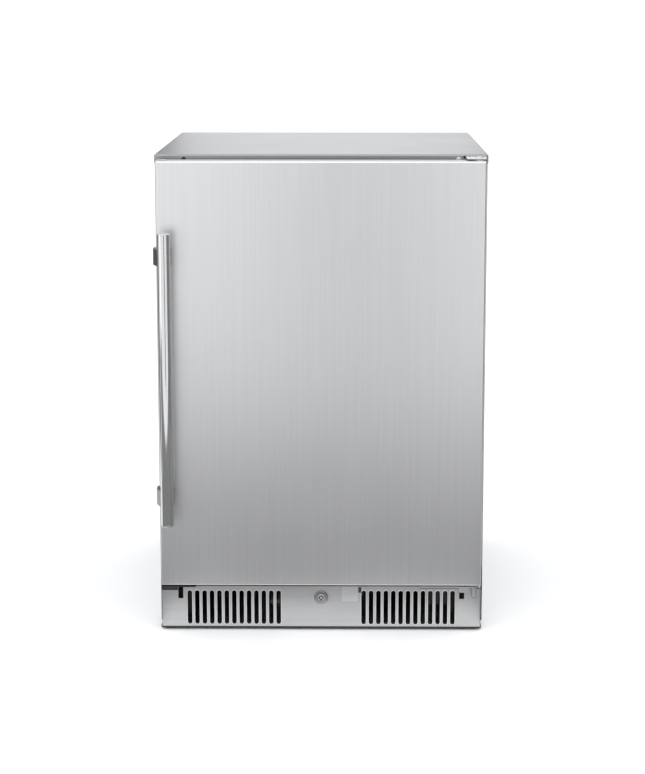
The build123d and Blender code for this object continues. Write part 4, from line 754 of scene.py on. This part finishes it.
class FRIDGE_OT_fans(bpy.types.Operator):
    """Moulded fan blades with swept, cambered vanes."""
    bl_idname = "fridge.fans"
    bl_label = "Fan blades"

    def execute(self, context):
        black = plastic("fan_black", (0.025, 0.025, 0.027), 0.38)
        grey_plastic = plastic("fan_grey", (0.30, 0.31, 0.32), 0.38)
        for node, body, axis, blades, hub, depth, finish in (
                ("condenser_fan_blade", "condenser_fan", "x", 5, 24 * MM, 24 * MM, black),
                ("evaporator_fan_blade", "evaporator_fan", "y", 7, 13 * MM, 16 * MM, grey_plastic)):
            joint = next(j for j in frame["joints"] if j["child"] == body)
            low, high, _ = span(node)
            along = "xyz".index(axis)
            across = [i for i in range(3) if i != along]
            tip = min(high[i] - low[i] for i in across) / 2 - 1 * MM
            centre = np.array(joint["pos_m"], float)
            centre[along] = low[along] + depth / 2 + 1 * MM
            piece = make_piece(f"{node}_moulded", fan_grids(centre, axis, hub, tip, depth, blades),
                               body, [node], 40.0)
            piece.data.materials.append(finish)
        return {"FINISHED"}


# ---------------------------------------------------------------- panel and registration

class FRIDGE_PT_panel(bpy.types.Panel):
    """Lists the pieces and their settings."""
    bl_label = "Refrigerator"
    bl_space_type = "VIEW_3D"
    bl_region_type = "UI"
    bl_category = "Refrigerator"

    def draw(self, context):
        for operator in OPERATORS:
            self.layout.operator(operator.bl_idname)
        for group in (context.scene.fridge_stage, context.scene.fridge_steel,
                      context.scene.fridge_handle, context.scene.fridge_shelves):
            for name in group.__annotations__:
                self.layout.prop(group, name)


GROUPS = {
    "fridge_stage": StageSettings,
    "fridge_steel": SteelSettings,
    "fridge_handle": HandleSettings,
    "fridge_shelves": ShelfSettings,
}
OPERATORS = (FRIDGE_OT_stage, FRIDGE_OT_sheets, FRIDGE_OT_handle, FRIDGE_OT_gasket, FRIDGE_OT_shelves,
             FRIDGE_OT_fans)
CLASSES = (*GROUPS.values(), *OPERATORS, FRIDGE_PT_panel)


def register():
    for cls in CLASSES:
        bpy.utils.register_class(cls)
    for name, group in GROUPS.items():
        setattr(bpy.types.Scene, name, bpy.props.PointerProperty(type=group))


def unregister():
    for name in GROUPS:
        delattr(bpy.types.Scene, name)
    for cls in reversed(CLASSES):
        bpy.utils.unregister_class(cls)


def main():
    register()
    bpy.ops.fridge.stage()
    bpy.ops.fridge.sheets()
    bpy.ops.fridge.handle()
    bpy.ops.fridge.gasket()
    bpy.ops.fridge.shelves()
    bpy.ops.fridge.fans()


if __name__ == "__main__":
    main()
